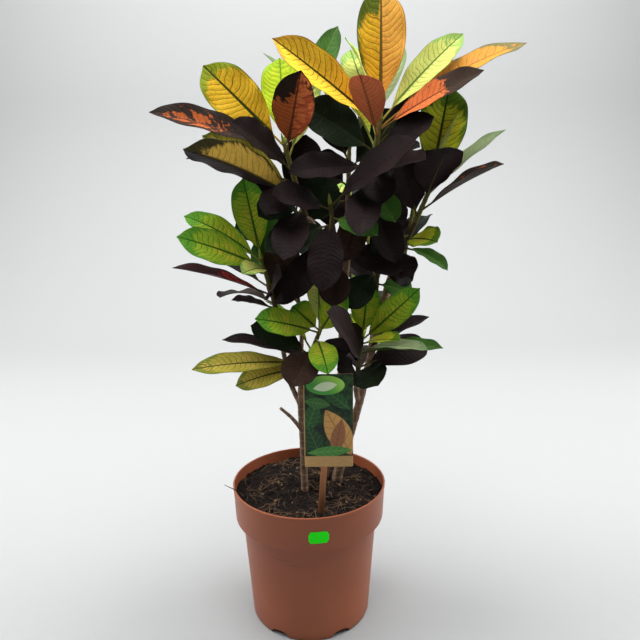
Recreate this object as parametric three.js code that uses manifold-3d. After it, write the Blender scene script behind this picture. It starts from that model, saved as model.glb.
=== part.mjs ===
// A croton house plant, three rooted cuttings in one round nursery pot, with its care card on a stick.
// Millimetres, +Z up. The origin is the middle of the pot's underside, on the face that it stands on.
// The front, where the care card stands, looks along -Y.
import * as THREE from "three";
import { mergeVertices } from "three/addons/utils/BufferGeometryUtils.js";
import Module from "manifold-3d";

const wasm = await Module();
wasm.setup();

// ---- Driving dimensions -------------------------------------------------------------------------

const CLEARANCE = 0.3; // between pieces that touch
const TRUNK_SIDES = 8;
const SHOOT_SIDES = 6;
const SOCKET = 0.2; // share of a shoot's stem that its branch keeps clear of

const POT = {
  height: 195,
  rimRadius: 105,
  baseRadius: 82.7,
  shoulderRadius: 93, // body, just under the collar
  collarRadius: 102.4, // collar, at its lower edge
  collarBottom: 147,
  lipHeight: 4,
  lipStep: 0.5,
  wall: 1.9,
  floor: 2.6,
  corner: 2.5,
  sides: 32,
};
// Arched slots cut through the foot; each cutter starts beyond the wall and below the foot.
const DRAIN = {
  count: 6,
  width: 27,
  height: 9,
  depth: 14,
  firstAngle: -60,
  sill: 2.7, // where the arch starts
  beyond: 3,
  below: 1,
};

const SOIL = { level: 180, mound: 4, lumps: 1.2, rings: 3 };

const CARD = { width: 61, height: 123, thickness: 0.9, corner: 2, x: 27, y: -72, bottom: 249 };
const STICK = { width: 8, thickness: 2.4, foot: [9, 100], head: [29, 345] };
const STICKER = { width: 26, height: 16, thickness: 0.3, angle: -82.7, z: 167.5, notch: 2.2, columns: 8 };

const LEAF = {
  petiole: 0.13, // share of the leaf's length
  petioleWidth: 2.6,
  petioleThickness: 2.4,
  blade: 0.9, // thickness
  stations: [0, 0.24, 0.55, 0.86, 1],
};
const BLADE = { widest: 1.2, roundness: 0.52, point: 0.045, taper: 1.1, wedge: 0.16, fullness: 1.04 };
const SEARCH = { step: 6, rings: 7, directions: 6, margin: 1.4, clearFrom: 0.24 };

const COLOURS = {
  terracotta: { color: 0x8a5a40, roughness: 0.45, metalness: 0 },
  peat: { color: 0x2e241f, roughness: 1, metalness: 0 },
  bark: { color: 0x6d5a48, roughness: 0.85, metalness: 0 },
  softwood: { color: 0x96643c, roughness: 0.8, metalness: 0 },
  card: { color: 0x3c5a30, roughness: 0.6, metalness: 0 },
  neon: { color: 0x3fe040, roughness: 0.6, metalness: 0 },
  bright: { color: 0xa8a032, roughness: 0.4, metalness: 0 },
  golden: { color: 0xc19124, roughness: 0.4, metalness: 0 },
  dark: { color: 0x2f2c22, roughness: 0.35, metalness: 0 },
};

// Woody stems: each is a list of branches, and a branch is a list of [x, y, z, radius].
const WOOD = {
  trunk_right: [
    [[36, 21, 104, 7.5], [39, 21, 182, 7.5], [56, 20, 245, 6.2], [74, 20, 312, 5.4], [93, 16, 400, 5],
      [108, 6, 470, 4.4], [122, -3, 508, 4]],
    [[70, 20, 300, 4], [66, 8, 322, 3.8], [66, 0, 337, 3.8]],
    [[84, 19, 356, 4], [88, 32, 380, 3.8], [92, 42, 398, 3.8]],
    [[103, 10, 445, 4], [118, 24, 470, 3.6], [128, 34, 486, 3.6]],
    [[95, 15, 408, 3.6], [91, 4, 430, 3.4], [90, -2, 446, 3.4]],
  ],
  trunk_centre: [
    [[20, 30, 110, 6], [21, 29, 182, 6], [34, 24, 250, 5.6], [45, 12, 330, 5.4], [48, 7, 420, 5.2],
      [53, 2, 500, 5], [66, -3, 545, 4.6], [76, -4, 566, 4.4]],
    [[49, 6, 440, 4], [34, 0, 500, 3.8], [12, -4, 545, 3.8], [2, -5, 556, 3.8]],
    [[51, 4, 470, 4], [54, 26, 520, 3.8], [56, 42, 552, 3.8]],
    [[48, 7, 410, 3.6], [38, 24, 436, 3.4], [36, 38, 452, 3.4]],
    [[48, 7, 425, 3.8], [46, -4, 455, 3.6], [44, -11, 477, 3.6]],
    [[48, 6, 445, 3.6], [36, 10, 475, 3.4], [27, 12, 497, 3.4]],
  ],
  trunk_left: [
    [[-6, -10, 108, 5], [-6, -11, 182, 5], [-7, -14, 255, 4.6], [-9, -16, 318, 4.2], [-6, -16, 352, 4]],
    [[-9, -16, 310, 3.6], [-24, -8, 345, 3.4], [-32, -4, 390, 3.2], [-38, -7, 436, 3.2]],
    [[-8, -14, 265, 3.4], [-10, 12, 320, 3.2], [-8, 34, 380, 3], [-6, 40, 414, 3]],
    [[-7, -14, 272, 2.8], [-20, -22, 294, 2.4], [-35, -30, 312, 2]],
  ],
};

// Leafy shoots: foot and apex of the stem, its radius at both, and the share of it where the young top
// begins (1 where the whole shoot is mature).
const SHOOTS = {
  crown: { foot: [76, -4, 567], apex: [94, -8, 674], radii: [4.4, 3], young: 0.5 },
  upper_left: { foot: [1.5, -5, 557], apex: [-23, -10, 646], radii: [3.8, 2.8], young: 0.5 },
  right: { foot: [122.2, -3, 508.4], apex: [155, -14, 590], radii: [3.9, 2.8], young: 0.5 },
  middle_left: { foot: [-38, -7, 437], apex: [-55, -12, 506], radii: [3.2, 2.6], young: 0.5 },
  lower_left: { foot: [-6, -16, 353], apex: [18, -20, 414], radii: [3.9, 2.6], young: 0.5 },
  lower_right: { foot: [66, -1, 338], apex: [73, -6, 402], radii: [3.7, 2.6], young: 0.5 },
  inner: { foot: [44, -12, 478], apex: [32, -24, 574], radii: [3.5, 2.6], young: 1 },
  inner_left: { foot: [27.4, 12, 496], apex: [-16, 32, 568], radii: [3.3, 2.6], young: 1 },
  inner_right: { foot: [90, -2.5, 447], apex: [92, -28, 520], radii: [3.3, 2.6], young: 1 },
  crown_back: { foot: [56, 43, 553], apex: [60, 66, 650], radii: [3.7, 2.6], young: 0.55 },
  middle_back: { foot: [36, 39, 453], apex: [34, 74, 530], radii: [3.3, 2.6], young: 0.55 },
  left_back: { foot: [-6, 41, 415], apex: [-22, 62, 486], radii: [2.9, 2.4], young: 0.55 },
  right_back: { foot: [92, 43, 399], apex: [98, 66, 474], radii: [3.7, 2.6], young: 0.55 },
  right_rear: { foot: [128.5, 35, 487], apex: [146, 58, 566], radii: [3.5, 2.6], young: 0.55 },
};

// Leaves that give the plant its outline. Each row: place on the shoot (0 foot, 1 apex), tip x, y, z,
// width, bend of the midrib in degrees, how far the upper face turns from up towards the front in degrees,
// and fold in degrees.
const LEAVES = {
  inner: [
    [0.96, 126, -92, 645, 56, 20, 40, 12],
    [0.88, 21, -84, 476, 44, 24, 46, 16],
    [0.74, -40, -70, 517, 44, 24, 46, 16],
    [0.82, 85, -82, 541, 34, 24, 50, 18],
    [0.92, -36, -66, 589, 42, 22, 46, 16],
    [0.56, -25, -60, 462, 42, 28, 50, 14],
    [0.4, 120, -48, 495, 40, 26, 54, 16],
    [0.24, 30, -56, 446, 40, 30, 54, 14],
    [0.12, 5, -30, 501, 28, 20, 70, 14],
  ],
  crown: [
    [0.98, 96, 24, 825, 60, 14, 84, 14],
    [0.92, -32, -40, 760, 50, 12, 62, 30],
    [0.8, 64, -84, 715, 42, 10, -4, 20],
    [0.86, 206, -52, 722, 40, 16, 40, 18],
    [0.95, 196, 20, 773, 40, 22, 48, 18],
    [0.88, 271, 10, 760, 46, 30, 24, 14],
    [0.78, 62, 90, 767, 44, 16, 50, 12],
    [0.74, 186, 34, 754, 38, 16, 40, 22],
    [0.7, 217, 22, 738, 30, 18, 30, 22],
    [0.62, 1, -30, 688, 56, 24, 60, 12],
    [0.52, 148, -40, 681, 44, 18, 44, 14],
    [0.46, -1, -70, 595, 46, 22, 44, 16],
    [0.48, 133, -60, 600, 42, 24, 44, 16],
    [0.34, 158, -70, 568, 42, 20, 44, 16],
    [0.26, 108, -60, 554, 34, 30, 56, 16],
    [0.18, 109, -60, 505, 40, 26, 50, 16],
    [0.3, 7, -74, 543, 42, 26, 46, 16],
    [0.12, 47, -56, 507, 38, 30, 54, 14],
  ],
  upper_left: [
    [0.95, -119, 4, 738, 58, 14, 74, 8],
    [0.84, -177, -40, 682, 44, 20, 40, 26],
    [0.22, -118, -104, 647, 62, 22, -36, 20],
    [0.88, 3, -56, 726, 54, 8, 70, 26],
    [0.93, -28, 28, 749, 50, 14, 84, 12],
    [0.97, 45, 56, 790, 34, 14, 76, 14],
    [0.8, 19, 14, 717, 30, 12, 66, 20],
    [0.36, -107, -62, 656, 46, 16, 56, 14],
    [0.6, -80, -62, 669, 46, 24, 44, 16],
    [0.44, -148, 20, 656, 44, 30, 12, 22],
    [0.44, -66, -58, 605, 40, 24, 44, 18],
    [0.3, 59, -70, 597, 44, 22, 44, 16],
    [0.16, -28, -78, 500, 44, 28, 46, 16],
    [0.2, -53, -44, 555, 42, 30, 50, 16],
  ],
  right: [
    [0.96, 174, 14, 719, 60, 10, 84, 10],
    [0.9, 251, 10, 660, 34, 12, 6, 18],
    [0.8, 162, -92, 638, 56, 14, -4, 14],
    [0.66, 234, -52, 619, 46, 18, 10, 24],
    [0.56, 120, -34, 627, 46, 24, 56, 12],
    [0.46, 95, -50, 593, 40, 22, 54, 14],
    [0.3, 81, -48, 518, 42, 30, 54, 14],
    [0.2, 158, -60, 530, 42, 34, 50, 14],
    [0.1, 175, -40, 493, 24, 44, 24, 20],
    [0.06, 119, -56, 494, 42, 40, 44, 14],
  ],
  middle_left: [
    [0.96, -74, -16, 606, 44, 10, 82, 16],
    [0.9, -148, -20, 561, 36, 46, 42, 14],
    [0.82, -152, -70, 529, 42, 26, 56, 8],
    [0.76, -73, -68, 496, 30, 40, 50, 20],
    [0.6, -54, 14, 583, 38, 18, 70, 14],
    [0.44, -135, 60, 541, 34, 22, 10, 20],
    [0.3, -162, -40, 500, 34, 18, 10, 22],
    [0.4, -10, -38, 530, 46, 26, 60, 12],
    [0.24, -15, -60, 492, 48, 36, 52, 14],
    [0.05, -94, -22, 455, 28, 18, 8, 18],
  ],
  lower_left: [
    [0.94, -61, -62, 440, 38, 22, 50, 12],
    [0.98, -18, -6, 443, 38, 18, 62, 12],
    [0.9, 51, -52, 470, 36, 20, 60, 18],
    [0.8, 27, -88, 377, 36, 50, 44, 10],
    [0.24, -142, -58, 375, 34, 26, 34, 14],
    [0.14, -91, -38, 346, 34, 40, 44, 12],
    [0.34, -99, 14, 418, 34, 22, 8, 20],
    [0.36, 54, -60, 396, 40, 34, 44, 14],
    [0.44, -79, 0, 391, 40, 36, 40, 12],
    [0.6, -23, -84, 349, 46, 30, 56, 12],
  ],
  lower_right: [
    [0.96, 78, -30, 475, 38, 16, 84, 10],
    [0.9, 140, -50, 473, 36, 34, 74, 12],
    [0.82, 114, -70, 413, 30, 20, 30, 16],
    [0.7, 152, -52, 395, 30, 26, 12, 16],
    [0.62, 175, -26, 398, 34, 24, 14, 18],
    [0.56, 168, 16, 411, 36, 22, 8, 20],
    [0.3, -16, -128, 441, 48, 24, 50, 12],
    [0.4, 35, -58, 429, 40, 24, 48, 16],
    [0.3, 128, 22, 443, 46, 26, 50, 12],
    [0.24, 89, -66, 354, 50, 40, 56, 10],
    [0.12, 55, -44, 365, 44, 44, 50, 12],
  ],
  inner_left: [
    [0.95, -75, 4, 596, 46, 22, 56, 16],
    [0.7, -91, 6, 538, 52, 30, 50, 14],
    [0.9, 3, 30, 658, 52, 20, 70, 12],
    [0.5, -70, -10, 502, 52, 32, 52, 12],
    [0.3, -51, -10, 457, 50, 34, 50, 12],
    [0.6, 33, 26, 606, 50, 24, 66, 12],
  ],
  inner_right: [
    [0.95, 152, 10, 558, 46, 24, 56, 12],
    [0.76, 138, -40, 504, 40, 34, 50, 14],
    [0.6, 50, -50, 449, 40, 28, 54, 16],
    [0.34, 135, -20, 457, 40, 36, 34, 12],
    [0.9, 118, 8, 588, 50, 20, 66, 12],
  ],
  crown_back: [
    [0.9, -49, 42, 757, 24, 14, 20, 20],
    [0.88, 133, 92, 774, 40, 16, 50, 16],
    [0.7, 24, 60, 707, 50, 18, 76, 12],
    [0.6, 126, 60, 686, 52, 20, 70, 12],
    [0.4, 7, 50, 626, 54, 20, 66, 12],
    [0.45, 121, 60, 628, 54, 20, 66, 12],
    [0.2, -7, 40, 570, 54, 24, 60, 12],
    [0.2, 124, 50, 565, 52, 24, 60, 12],
  ],
  middle_back: [
    [0.8, -9, 80, 521, 54, 24, 62, 12],
    [0.6, 93, 90, 485, 46, 24, 60, 12],
    [0.95, 34, 90, 586, 52, 20, 70, 12],
  ],
};

// Leaves that fill a shoot all round: how many, first azimuth in degrees, the azimuths they are kept
// within, and the range of their lengths.
const FILL = {
  crown: { count: 4, first: 25, from: 20, to: 170, length: [120, 160] },
  upper_left: { count: 3, first: 75, from: 50, to: 190, length: [110, 150] },
  right: { count: 3, first: 75, from: 50, to: 150, length: [100, 140] },
  middle_left: { count: 2, first: 100, from: 60, to: 140, length: [90, 120] },
  lower_left: { count: 3, first: 120, from: 70, to: 170, length: [85, 110] },
  lower_right: { count: 3, first: 60, from: 40, to: 140, length: [85, 110] },
  crown_back: { count: 5, first: 60, from: 10, to: 170, length: [120, 160] },
  middle_back: { count: 5, first: 50, from: 20, to: 160, length: [110, 145] },
  left_back: { count: 5, first: 110, from: 50, to: 180, length: [105, 135] },
  right_back: { count: 5, first: 80, from: 50, to: 160, length: [105, 135] },
  right_rear: { count: 5, first: 90, from: 60, to: 160, length: [110, 145] },
};
// The two ends of each range, from the shoot's foot to its apex or from the least draw to the greatest.
// Width is a share of the leaf's length.
const FILL_RULE = {
  place: [0.12, 0.94],
  rise: [6, 58],
  steeper: [0, 14],
  width: [0.36, 0.42],
  bend: [16, 46],
  face: [-6, -26],
  fold: [10, 24],
};
const GOLDEN_ANGLE = 137.5;
const FILL_SEED = 4711;

const GOLDEN_SHOOTS = ["crown", "upper_left"];

// ---- Helpers -----------------------------------------------------------------

const { degToRad: degrees, lerp, mapLinear, euclideanModulo } = THREE.MathUtils;
const vec = (point) => new THREE.Vector3(point[0], point[1], point[2]);

// A repeatable draw between 0 and 1.
let drawState = FILL_SEED;
function draw() {
  drawState = (drawState * 16807) % 2147483647;
  return drawState / 2147483647;
}

// The closed solid of a geometry. Triangles that merging closes to a line are left out.
function solidOf(geometry) {
  const bare = geometry.clone();
  bare.deleteAttribute("normal");
  bare.deleteAttribute("uv");
  const merged = mergeVertices(bare, 1e-4);
  const triangles = [];
  for (let i = 0; i < merged.index.count; i += 3) {
    const [a, b, c] = merged.index.array.slice(i, i + 3);
    if (a !== b && b !== c && c !== a) triangles.push(a, b, c);
  }
  return new wasm.Manifold(new wasm.Mesh({
    numProp: 3,
    vertProperties: new Float32Array(merged.attributes.position.array),
    triVerts: new Uint32Array(triangles),
  }));
}

function geometryOf(solid) {
  const mesh = solid.getMesh();
  const geometry = new THREE.BufferGeometry();
  geometry.setAttribute("position", new THREE.BufferAttribute(new Float32Array(mesh.vertProperties), 3));
  geometry.setIndex(Array.from(mesh.triVerts));
  geometry.computeVertexNormals();
  return geometry;
}

// A closed solid through rings of points that all hold the same count, its two ends closed by fans.
function loft(rings) {
  const sides = rings[0].length;
  const positions = rings.flat().flatMap((point) => [point.x, point.y, point.z]);
  const index = [];
  for (let ring = 0; ring + 1 < rings.length; ring += 1) {
    for (let side = 0; side < sides; side += 1) {
      const a = ring * sides + side;
      const b = ring * sides + ((side + 1) % sides);
      index.push(a, b, b + sides, a, b + sides, a + sides);
    }
  }
  const last = (rings.length - 1) * sides;
  for (let side = 1; side + 1 < sides; side += 1) {
    index.push(0, side + 1, side);
    index.push(last, last + side, last + side + 1);
  }
  const geometry = new THREE.BufferGeometry();
  geometry.setAttribute("position", new THREE.Float32BufferAttribute(positions, 3));
  geometry.setIndex(index);
  return solidOf(geometry);
}

// A round rod through [x, y, z, radius] points.
function rod(points, sides, grow = 0) {
  const rings = points.map((point, i) => {
    const before = vec(points[Math.max(i - 1, 0)]);
    const after = vec(points[Math.min(i + 1, points.length - 1)]);
    const along = after.sub(before).normalize();
    const across = new THREE.Vector3(0, 1, 0).cross(along).normalize();
    const over = along.clone().cross(across);
    return Array.from({ length: sides }, (_, side) => {
      const angle = (2 * Math.PI * side) / sides;
      return vec(point)
        .addScaledVector(across, (point[3] + grow) * Math.cos(angle))
        .addScaledVector(over, (point[3] + grow) * Math.sin(angle));
    });
  });
  return loft(rings);
}

// Joins solids that share their roots, fills any hollow that they close in between them and drops any chip
// that a cut has left loose.
function joined(solids) {
  const pieces = solids.reduce((a, b) => a.add(b)).decompose();
  return pieces.reduce((a, b) => (b.volume() > a.volume() ? b : a));
}

function boxOf(solid) {
  const { min, max } = solid.boundingBox();
  return new THREE.Box3(vec(min), vec(max));
}

function crosses(a, b) {
  if (!a.box.intersectsBox(b.box)) return false;
  const shared = a.solid.intersect(b.solid);
  const found = !shared.isEmpty();
  shared.delete();
  return found;
}

// ---- Pot, soil, card, stick and sticker ---------------------------------------------------------

// Outer radius of the pot's body at a height, below the collar.
const bodyRadius = (z) => mapLinear(z, 0, POT.collarBottom, POT.baseRadius, POT.shoulderRadius);
// Outer radius of the collar at a height.
const collarRadius = (z) => (
  mapLinear(z, POT.collarBottom, POT.height, POT.collarRadius, POT.rimRadius - POT.lipStep)
);

// The inside of the pot from its floor up to a height, as [radius, z] points, drawn in by a gap.
function cavityProfile(top, gap) {
  const ledge = POT.collarBottom + POT.wall;
  return [
    [bodyRadius(POT.floor) - POT.wall - gap - POT.corner / 2, POT.floor + gap],
    [bodyRadius(POT.floor + POT.corner) - POT.wall - gap, POT.floor + POT.corner],
    [bodyRadius(ledge) - POT.wall - gap, ledge + gap],
    [collarRadius(ledge) - POT.wall - gap, ledge + gap],
    [collarRadius(top) - POT.wall - gap, top],
  ];
}

function lathe(profile, sides) {
  const points = profile.map(([r, z]) => new THREE.Vector2(r, z));
  return solidOf(new THREE.LatheGeometry(points, sides).rotateX(Math.PI / 2));
}

function potSolid() {
  const lipBottom = POT.height - POT.lipHeight;
  const outside = [
    [0, 0],
    [POT.baseRadius - POT.corner, 0],
    [POT.baseRadius - POT.corner * 0.3, POT.corner * 0.3],
    [bodyRadius(POT.corner), POT.corner],
    [POT.shoulderRadius, POT.collarBottom - 1],
    [POT.shoulderRadius + 1.5, POT.collarBottom],
    [POT.collarRadius - 0.8, POT.collarBottom],
    [POT.collarRadius, POT.collarBottom + 0.8],
    [collarRadius(lipBottom), lipBottom],
    [POT.rimRadius, lipBottom + 0.8],
    [POT.rimRadius, POT.height - 0.6],
    [POT.rimRadius - 0.6, POT.height],
  ];
  const inside = cavityProfile(POT.height, 0).reverse();
  const wall = lathe([...outside, ...inside, [0, POT.floor]], POT.sides);
  const arch = new THREE.Shape();
  const x = DRAIN.width / 2;
  arch.moveTo(-x, -DRAIN.below);
  arch.lineTo(x, -DRAIN.below);
  arch.lineTo(x, DRAIN.sill);
  arch.quadraticCurveTo(x, DRAIN.height, 0, DRAIN.height);
  arch.quadraticCurveTo(-x, DRAIN.height, -x, DRAIN.sill);
  const cutters = Array.from({ length: DRAIN.count }, (_, i) => {
    const options = { depth: DRAIN.depth, bevelEnabled: false, curveSegments: 4 };
    const slot = new THREE.ExtrudeGeometry(arch, options);
    slot.rotateX(Math.PI / 2).rotateZ(Math.PI / 2);
    slot.translate(POT.baseRadius + DRAIN.beyond - DRAIN.depth, 0, 0);
    slot.rotateZ(degrees(DRAIN.firstAngle + (360 * i) / DRAIN.count));
    return solidOf(slot);
  });
  return cutters.reduce((solid, cutter) => solid.subtract(cutter), wall);
}

// Height of the soil's surface: a low mound with lumps.
function soilHeight(x, y) {
  const out = Math.hypot(x, y) / collarRadius(SOIL.level);
  const lumps = Math.sin(x * 0.13 + 1.7) * Math.cos(y * 0.11 - 0.6) + 0.6 * Math.sin(x * 0.07 - y * 0.19);
  return SOIL.level + SOIL.mound * (1 - out * out) + SOIL.lumps * lumps;
}

function soilSolid(holes) {
  const side = cavityProfile(SOIL.level, CLEARANCE);
  const [topRadius] = side[side.length - 1];
  const surface = Array.from({ length: SOIL.rings }, (_, i) => (
    [topRadius * (1 - (i + 1) / SOIL.rings), SOIL.level]
  ));
  const geometry = new THREE.LatheGeometry(
    [[0, POT.floor + CLEARANCE], ...side, ...surface].map(([r, z]) => new THREE.Vector2(r, z)),
    POT.sides,
  ).rotateX(Math.PI / 2);
  const position = geometry.attributes.position;
  for (let i = 0; i < position.count; i += 1) {
    if (Math.abs(position.getZ(i) - SOIL.level) < 1e-3) {
      position.setZ(i, soilHeight(position.getX(i), position.getY(i)));
    }
  }
  return holes.reduce((solid, hole) => solid.subtract(hole), solidOf(geometry));
}

function roundedPlate(width, height, thickness, radius) {
  const outline = new THREE.Shape();
  const x = width / 2;
  outline.moveTo(-x + radius, 0);
  outline.lineTo(x - radius, 0);
  outline.quadraticCurveTo(x, 0, x, radius);
  outline.lineTo(x, height - radius);
  outline.quadraticCurveTo(x, height, x - radius, height);
  outline.lineTo(-x + radius, height);
  outline.quadraticCurveTo(-x, height, -x, height - radius);
  outline.lineTo(-x, radius);
  outline.quadraticCurveTo(-x, 0, -x + radius, 0);
  return new THREE.ExtrudeGeometry(outline, { depth: thickness, bevelEnabled: false, curveSegments: 2 })
    .translate(0, 0, -thickness / 2)
    .rotateX(Math.PI / 2);
}

function cardSolid() {
  const plate = roundedPlate(CARD.width, CARD.height, CARD.thickness, CARD.corner);
  return solidOf(plate.translate(CARD.x, CARD.y, CARD.bottom));
}

// The stick stands behind the card and leans a little; grow widens it for its hole in the soil.
function stickSolid(grow = 0) {
  const [footX, footZ] = STICK.foot;
  const [headX, headZ] = STICK.head;
  const lean = Math.atan2(headX - footX, headZ - footZ);
  const length = Math.hypot(headX - footX, headZ - footZ);
  const rod = roundedPlate(STICK.width + 2 * grow, length + 2 * grow, STICK.thickness + 2 * grow, 1);
  const y = CARD.y + CARD.thickness / 2 + CLEARANCE + STICK.thickness / 2;
  return solidOf(rod.translate(0, 0, -grow).rotateY(lean).translate(footX, y, footZ));
}

function stickerSolid() {
  const rings = Array.from({ length: STICKER.columns + 1 }, (_, i) => {
    const share = i / STICKER.columns;
    const end = i === 0 || i === STICKER.columns;
    const half = STICKER.height / 2 - (end ? STICKER.notch : 0);
    const corners = [[1, 1], [-1, 1], [-1, 0], [1, 0]];
    return corners.map(([up, out]) => {
      const z = STICKER.z + up * half;
      const radius = collarRadius(z) + CLEARANCE + out * STICKER.thickness;
      const angle = degrees(STICKER.angle) + ((share - 0.5) * STICKER.width) / radius;
      return new THREE.Vector3(radius * Math.cos(angle), radius * Math.sin(angle), z);
    });
  });
  return loft(rings);
}

// ---- Leaves ------------------------------------------------------------------

// Half width of a blade, as a share of its greatest, from its foot (0) to its tip (1): a narrow wedge at
// the foot, widest beyond the middle, with a blunt end and a small point.
function bladeShare(t) {
  if (t >= 1) return 0;
  const u = t ** BLADE.widest;
  const round = (4 * u * (1 - u)) ** BLADE.roundness;
  const tip = 1 - Math.exp(-(((1 - t) / BLADE.point) ** BLADE.taper));
  const foot = 1 - Math.exp(-t / BLADE.wedge);
  return round * tip * foot * BLADE.fullness;
}

function leafOf([place, x, y, z, width, bend, face, fold]) {
  return { place, tip: [x, y, z], width, bend, face, fold };
}

function rootOf(shoot, place) {
  return vec(shoot.foot).lerp(vec(shoot.apex), place);
}

function stemPoint(shoot, place) {
  return [...rootOf(shoot, place).toArray(), lerp(...shoot.radii, place)];
}

// The leaf's own frame, with its tip swung round the root by two angles in degrees.
function leafFrame(shoot, leaf, swing) {
  const root = rootOf(shoot, leaf.place);
  const chord = vec(leaf.tip).sub(root);
  const length = chord.length();
  const azimuth = Math.atan2(chord.y, chord.x) + degrees(swing[0]);
  const rise = Math.min(Math.asin(chord.z / length) + degrees(swing[1]), degrees(86));
  const along = new THREE.Vector3(
    Math.cos(rise) * Math.cos(azimuth),
    Math.cos(rise) * Math.sin(azimuth),
    Math.sin(rise),
  );
  const hint = new THREE.Vector3(0, -Math.sin(degrees(leaf.face)), Math.cos(degrees(leaf.face)));
  const over = hint.addScaledVector(along, -hint.dot(along)).normalize();
  const across = over.clone().cross(along);
  return { root, length, along, over, across };
}

// Points of one leaf: six-point rings along a midrib that bends on one arc.
function leafSolid(shoot, leaf, swing, extra = 0, from = 0) {
  const { root, length, along, over, across } = leafFrame(shoot, leaf, swing);
  const bend = degrees(leaf.bend);
  const radius = length / (2 * Math.sin(bend / 2));
  const fold = degrees(leaf.fold);
  const ringAt = (s, halfWidth, thickness) => {
    const angle = bend * (0.5 - s);
    const centre = root.clone()
      .addScaledVector(along, radius * (Math.sin(bend / 2) - Math.sin(angle)))
      .addScaledVector(over, radius * (Math.cos(angle) - Math.cos(bend / 2)));
    const normal = over.clone().multiplyScalar(Math.cos(angle)).addScaledVector(along, -Math.sin(angle));
    const point = (side, face) => centre.clone()
      .addScaledVector(across, side * halfWidth * Math.cos(fold))
      .addScaledVector(normal, Math.abs(side) * halfWidth * Math.sin(fold) + (face * thickness) / 2);
    return [point(-1, 1), point(-1, -1), point(0, -1), point(1, -1), point(1, 1), point(0, 1)];
  };
  const rings = [];
  if (from === 0) rings.push(ringAt(0, LEAF.petioleWidth / 2, LEAF.petioleThickness + extra));
  LEAF.stations.filter((t) => t >= from).forEach((t) => {
    const halfWidth = Math.max((leaf.width / 2) * bladeShare(t), t === 0 ? LEAF.petioleWidth / 2 : 0);
    const thickness = t === 0 ? LEAF.petioleThickness : LEAF.blade;
    rings.push(ringAt(LEAF.petiole + (1 - LEAF.petiole) * t, halfWidth, thickness + extra));
  });
  return loft(rings);
}

// Swings to try in turn: none, then ever wider rings of them.
const SWINGS = [[0, 0]];
for (let ring = 1; ring <= SEARCH.rings; ring += 1) {
  for (let k = 0; k < SEARCH.directions; k += 1) {
    const angle = (2 * Math.PI * k) / SEARCH.directions + (Math.PI / 2) * (ring % 2);
    SWINGS.push([SEARCH.step * ring * Math.cos(angle), SEARCH.step * ring * Math.sin(angle)]);
  }
}

function fillLeaves(shoot, fill) {
  const leaves = [];
  const span = fill.to - fill.from;
  let azimuth = fill.first;
  for (let i = 0; i < fill.count; i += 1) {
    const place = lerp(...FILL_RULE.place, i / (fill.count - 1));
    const turned = fill.from + euclideanModulo(azimuth - fill.from, span);
    const length = lerp(...fill.length, draw());
    const rise = lerp(...FILL_RULE.rise, place ** 2) + lerp(...FILL_RULE.steeper, draw());
    const root = rootOf(shoot, place);
    const reach = length * Math.cos(degrees(rise));
    leaves.push({
      place,
      tip: [
        root.x + reach * Math.cos(degrees(turned)),
        root.y + reach * Math.sin(degrees(turned)),
        root.z + length * Math.sin(degrees(rise)),
      ],
      width: length * lerp(...FILL_RULE.width, draw()),
      bend: lerp(...FILL_RULE.bend, draw()),
      face: lerp(...FILL_RULE.face, draw()),
      fold: lerp(...FILL_RULE.fold, draw()),
    });
    azimuth += GOLDEN_ANGLE;
  }
  return leaves;
}

// ---- Assembly ----------------------------------------------------------------

const plant = new THREE.Group();
plant.name = "potted_croton";

function addPart(name, solid, look) {
  const mesh = new THREE.Mesh(geometryOf(solid), new THREE.MeshStandardMaterial(COLOURS[look]));
  mesh.name = name;
  plant.add(mesh);
}

const placed = [];
function place(node, solid) {
  placed.push({ node, solid, box: boxOf(solid) });
}

const pot = potSolid();
const card = cardSolid();
const stick = stickSolid();
const sticker = stickerSolid();
// Room for the foot of each shoot at the end of its branch.
const sockets = Object.values(SHOOTS).map((shoot) => (
  rod([stemPoint(shoot, 0), stemPoint(shoot, SOCKET)], SHOOT_SIDES, CLEARANCE)
));
const forked = (branches) => (
  joined(branches.map((branch, i) => rod(branch, i === 0 ? TRUNK_SIDES : SHOOT_SIDES)))
);
const trunks = Object.entries(WOOD).map(([name, branches]) => ({
  name,
  solid: joined([sockets.reduce((solid, socket) => solid.subtract(socket), forked(branches))]),
  hole: rod(branches[0].map(([x, y, z, radius]) => [x, y, z - CLEARANCE, radius]), TRUNK_SIDES, CLEARANCE),
}));
const soil = soilSolid([...trunks.map((trunk) => trunk.hole), stickSolid(CLEARANCE)]);

place("care_card", card);
place("card_stick", stick);
place("pot", pot);
place("soil", soil);
trunks.forEach((trunk) => place(trunk.name, trunk.solid));

// The two stem segments of each shoot come first, so that every leaf keeps clear of other shoots' stems.
const tiers = {};
Object.entries(SHOOTS).forEach(([name, shoot]) => {
  const length = vec(shoot.foot).distanceTo(vec(shoot.apex));
  const gap = CLEARANCE / length;
  const segments = { mature: [stemPoint(shoot, gap), stemPoint(shoot, shoot.young)] };
  if (shoot.young < 1) segments.young = [stemPoint(shoot, shoot.young + gap), stemPoint(shoot, 1)];
  const looks = { mature: "dark", young: GOLDEN_SHOOTS.includes(name) ? "golden" : "bright" };
  Object.entries(segments).forEach(([tier, points]) => {
    const node = `${name}_${tier}_leaves`;
    const solid = rod(points, SHOOT_SIDES);
    tiers[node] = { look: looks[tier], solids: [solid] };
    place(node, solid);
  });
});

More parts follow.
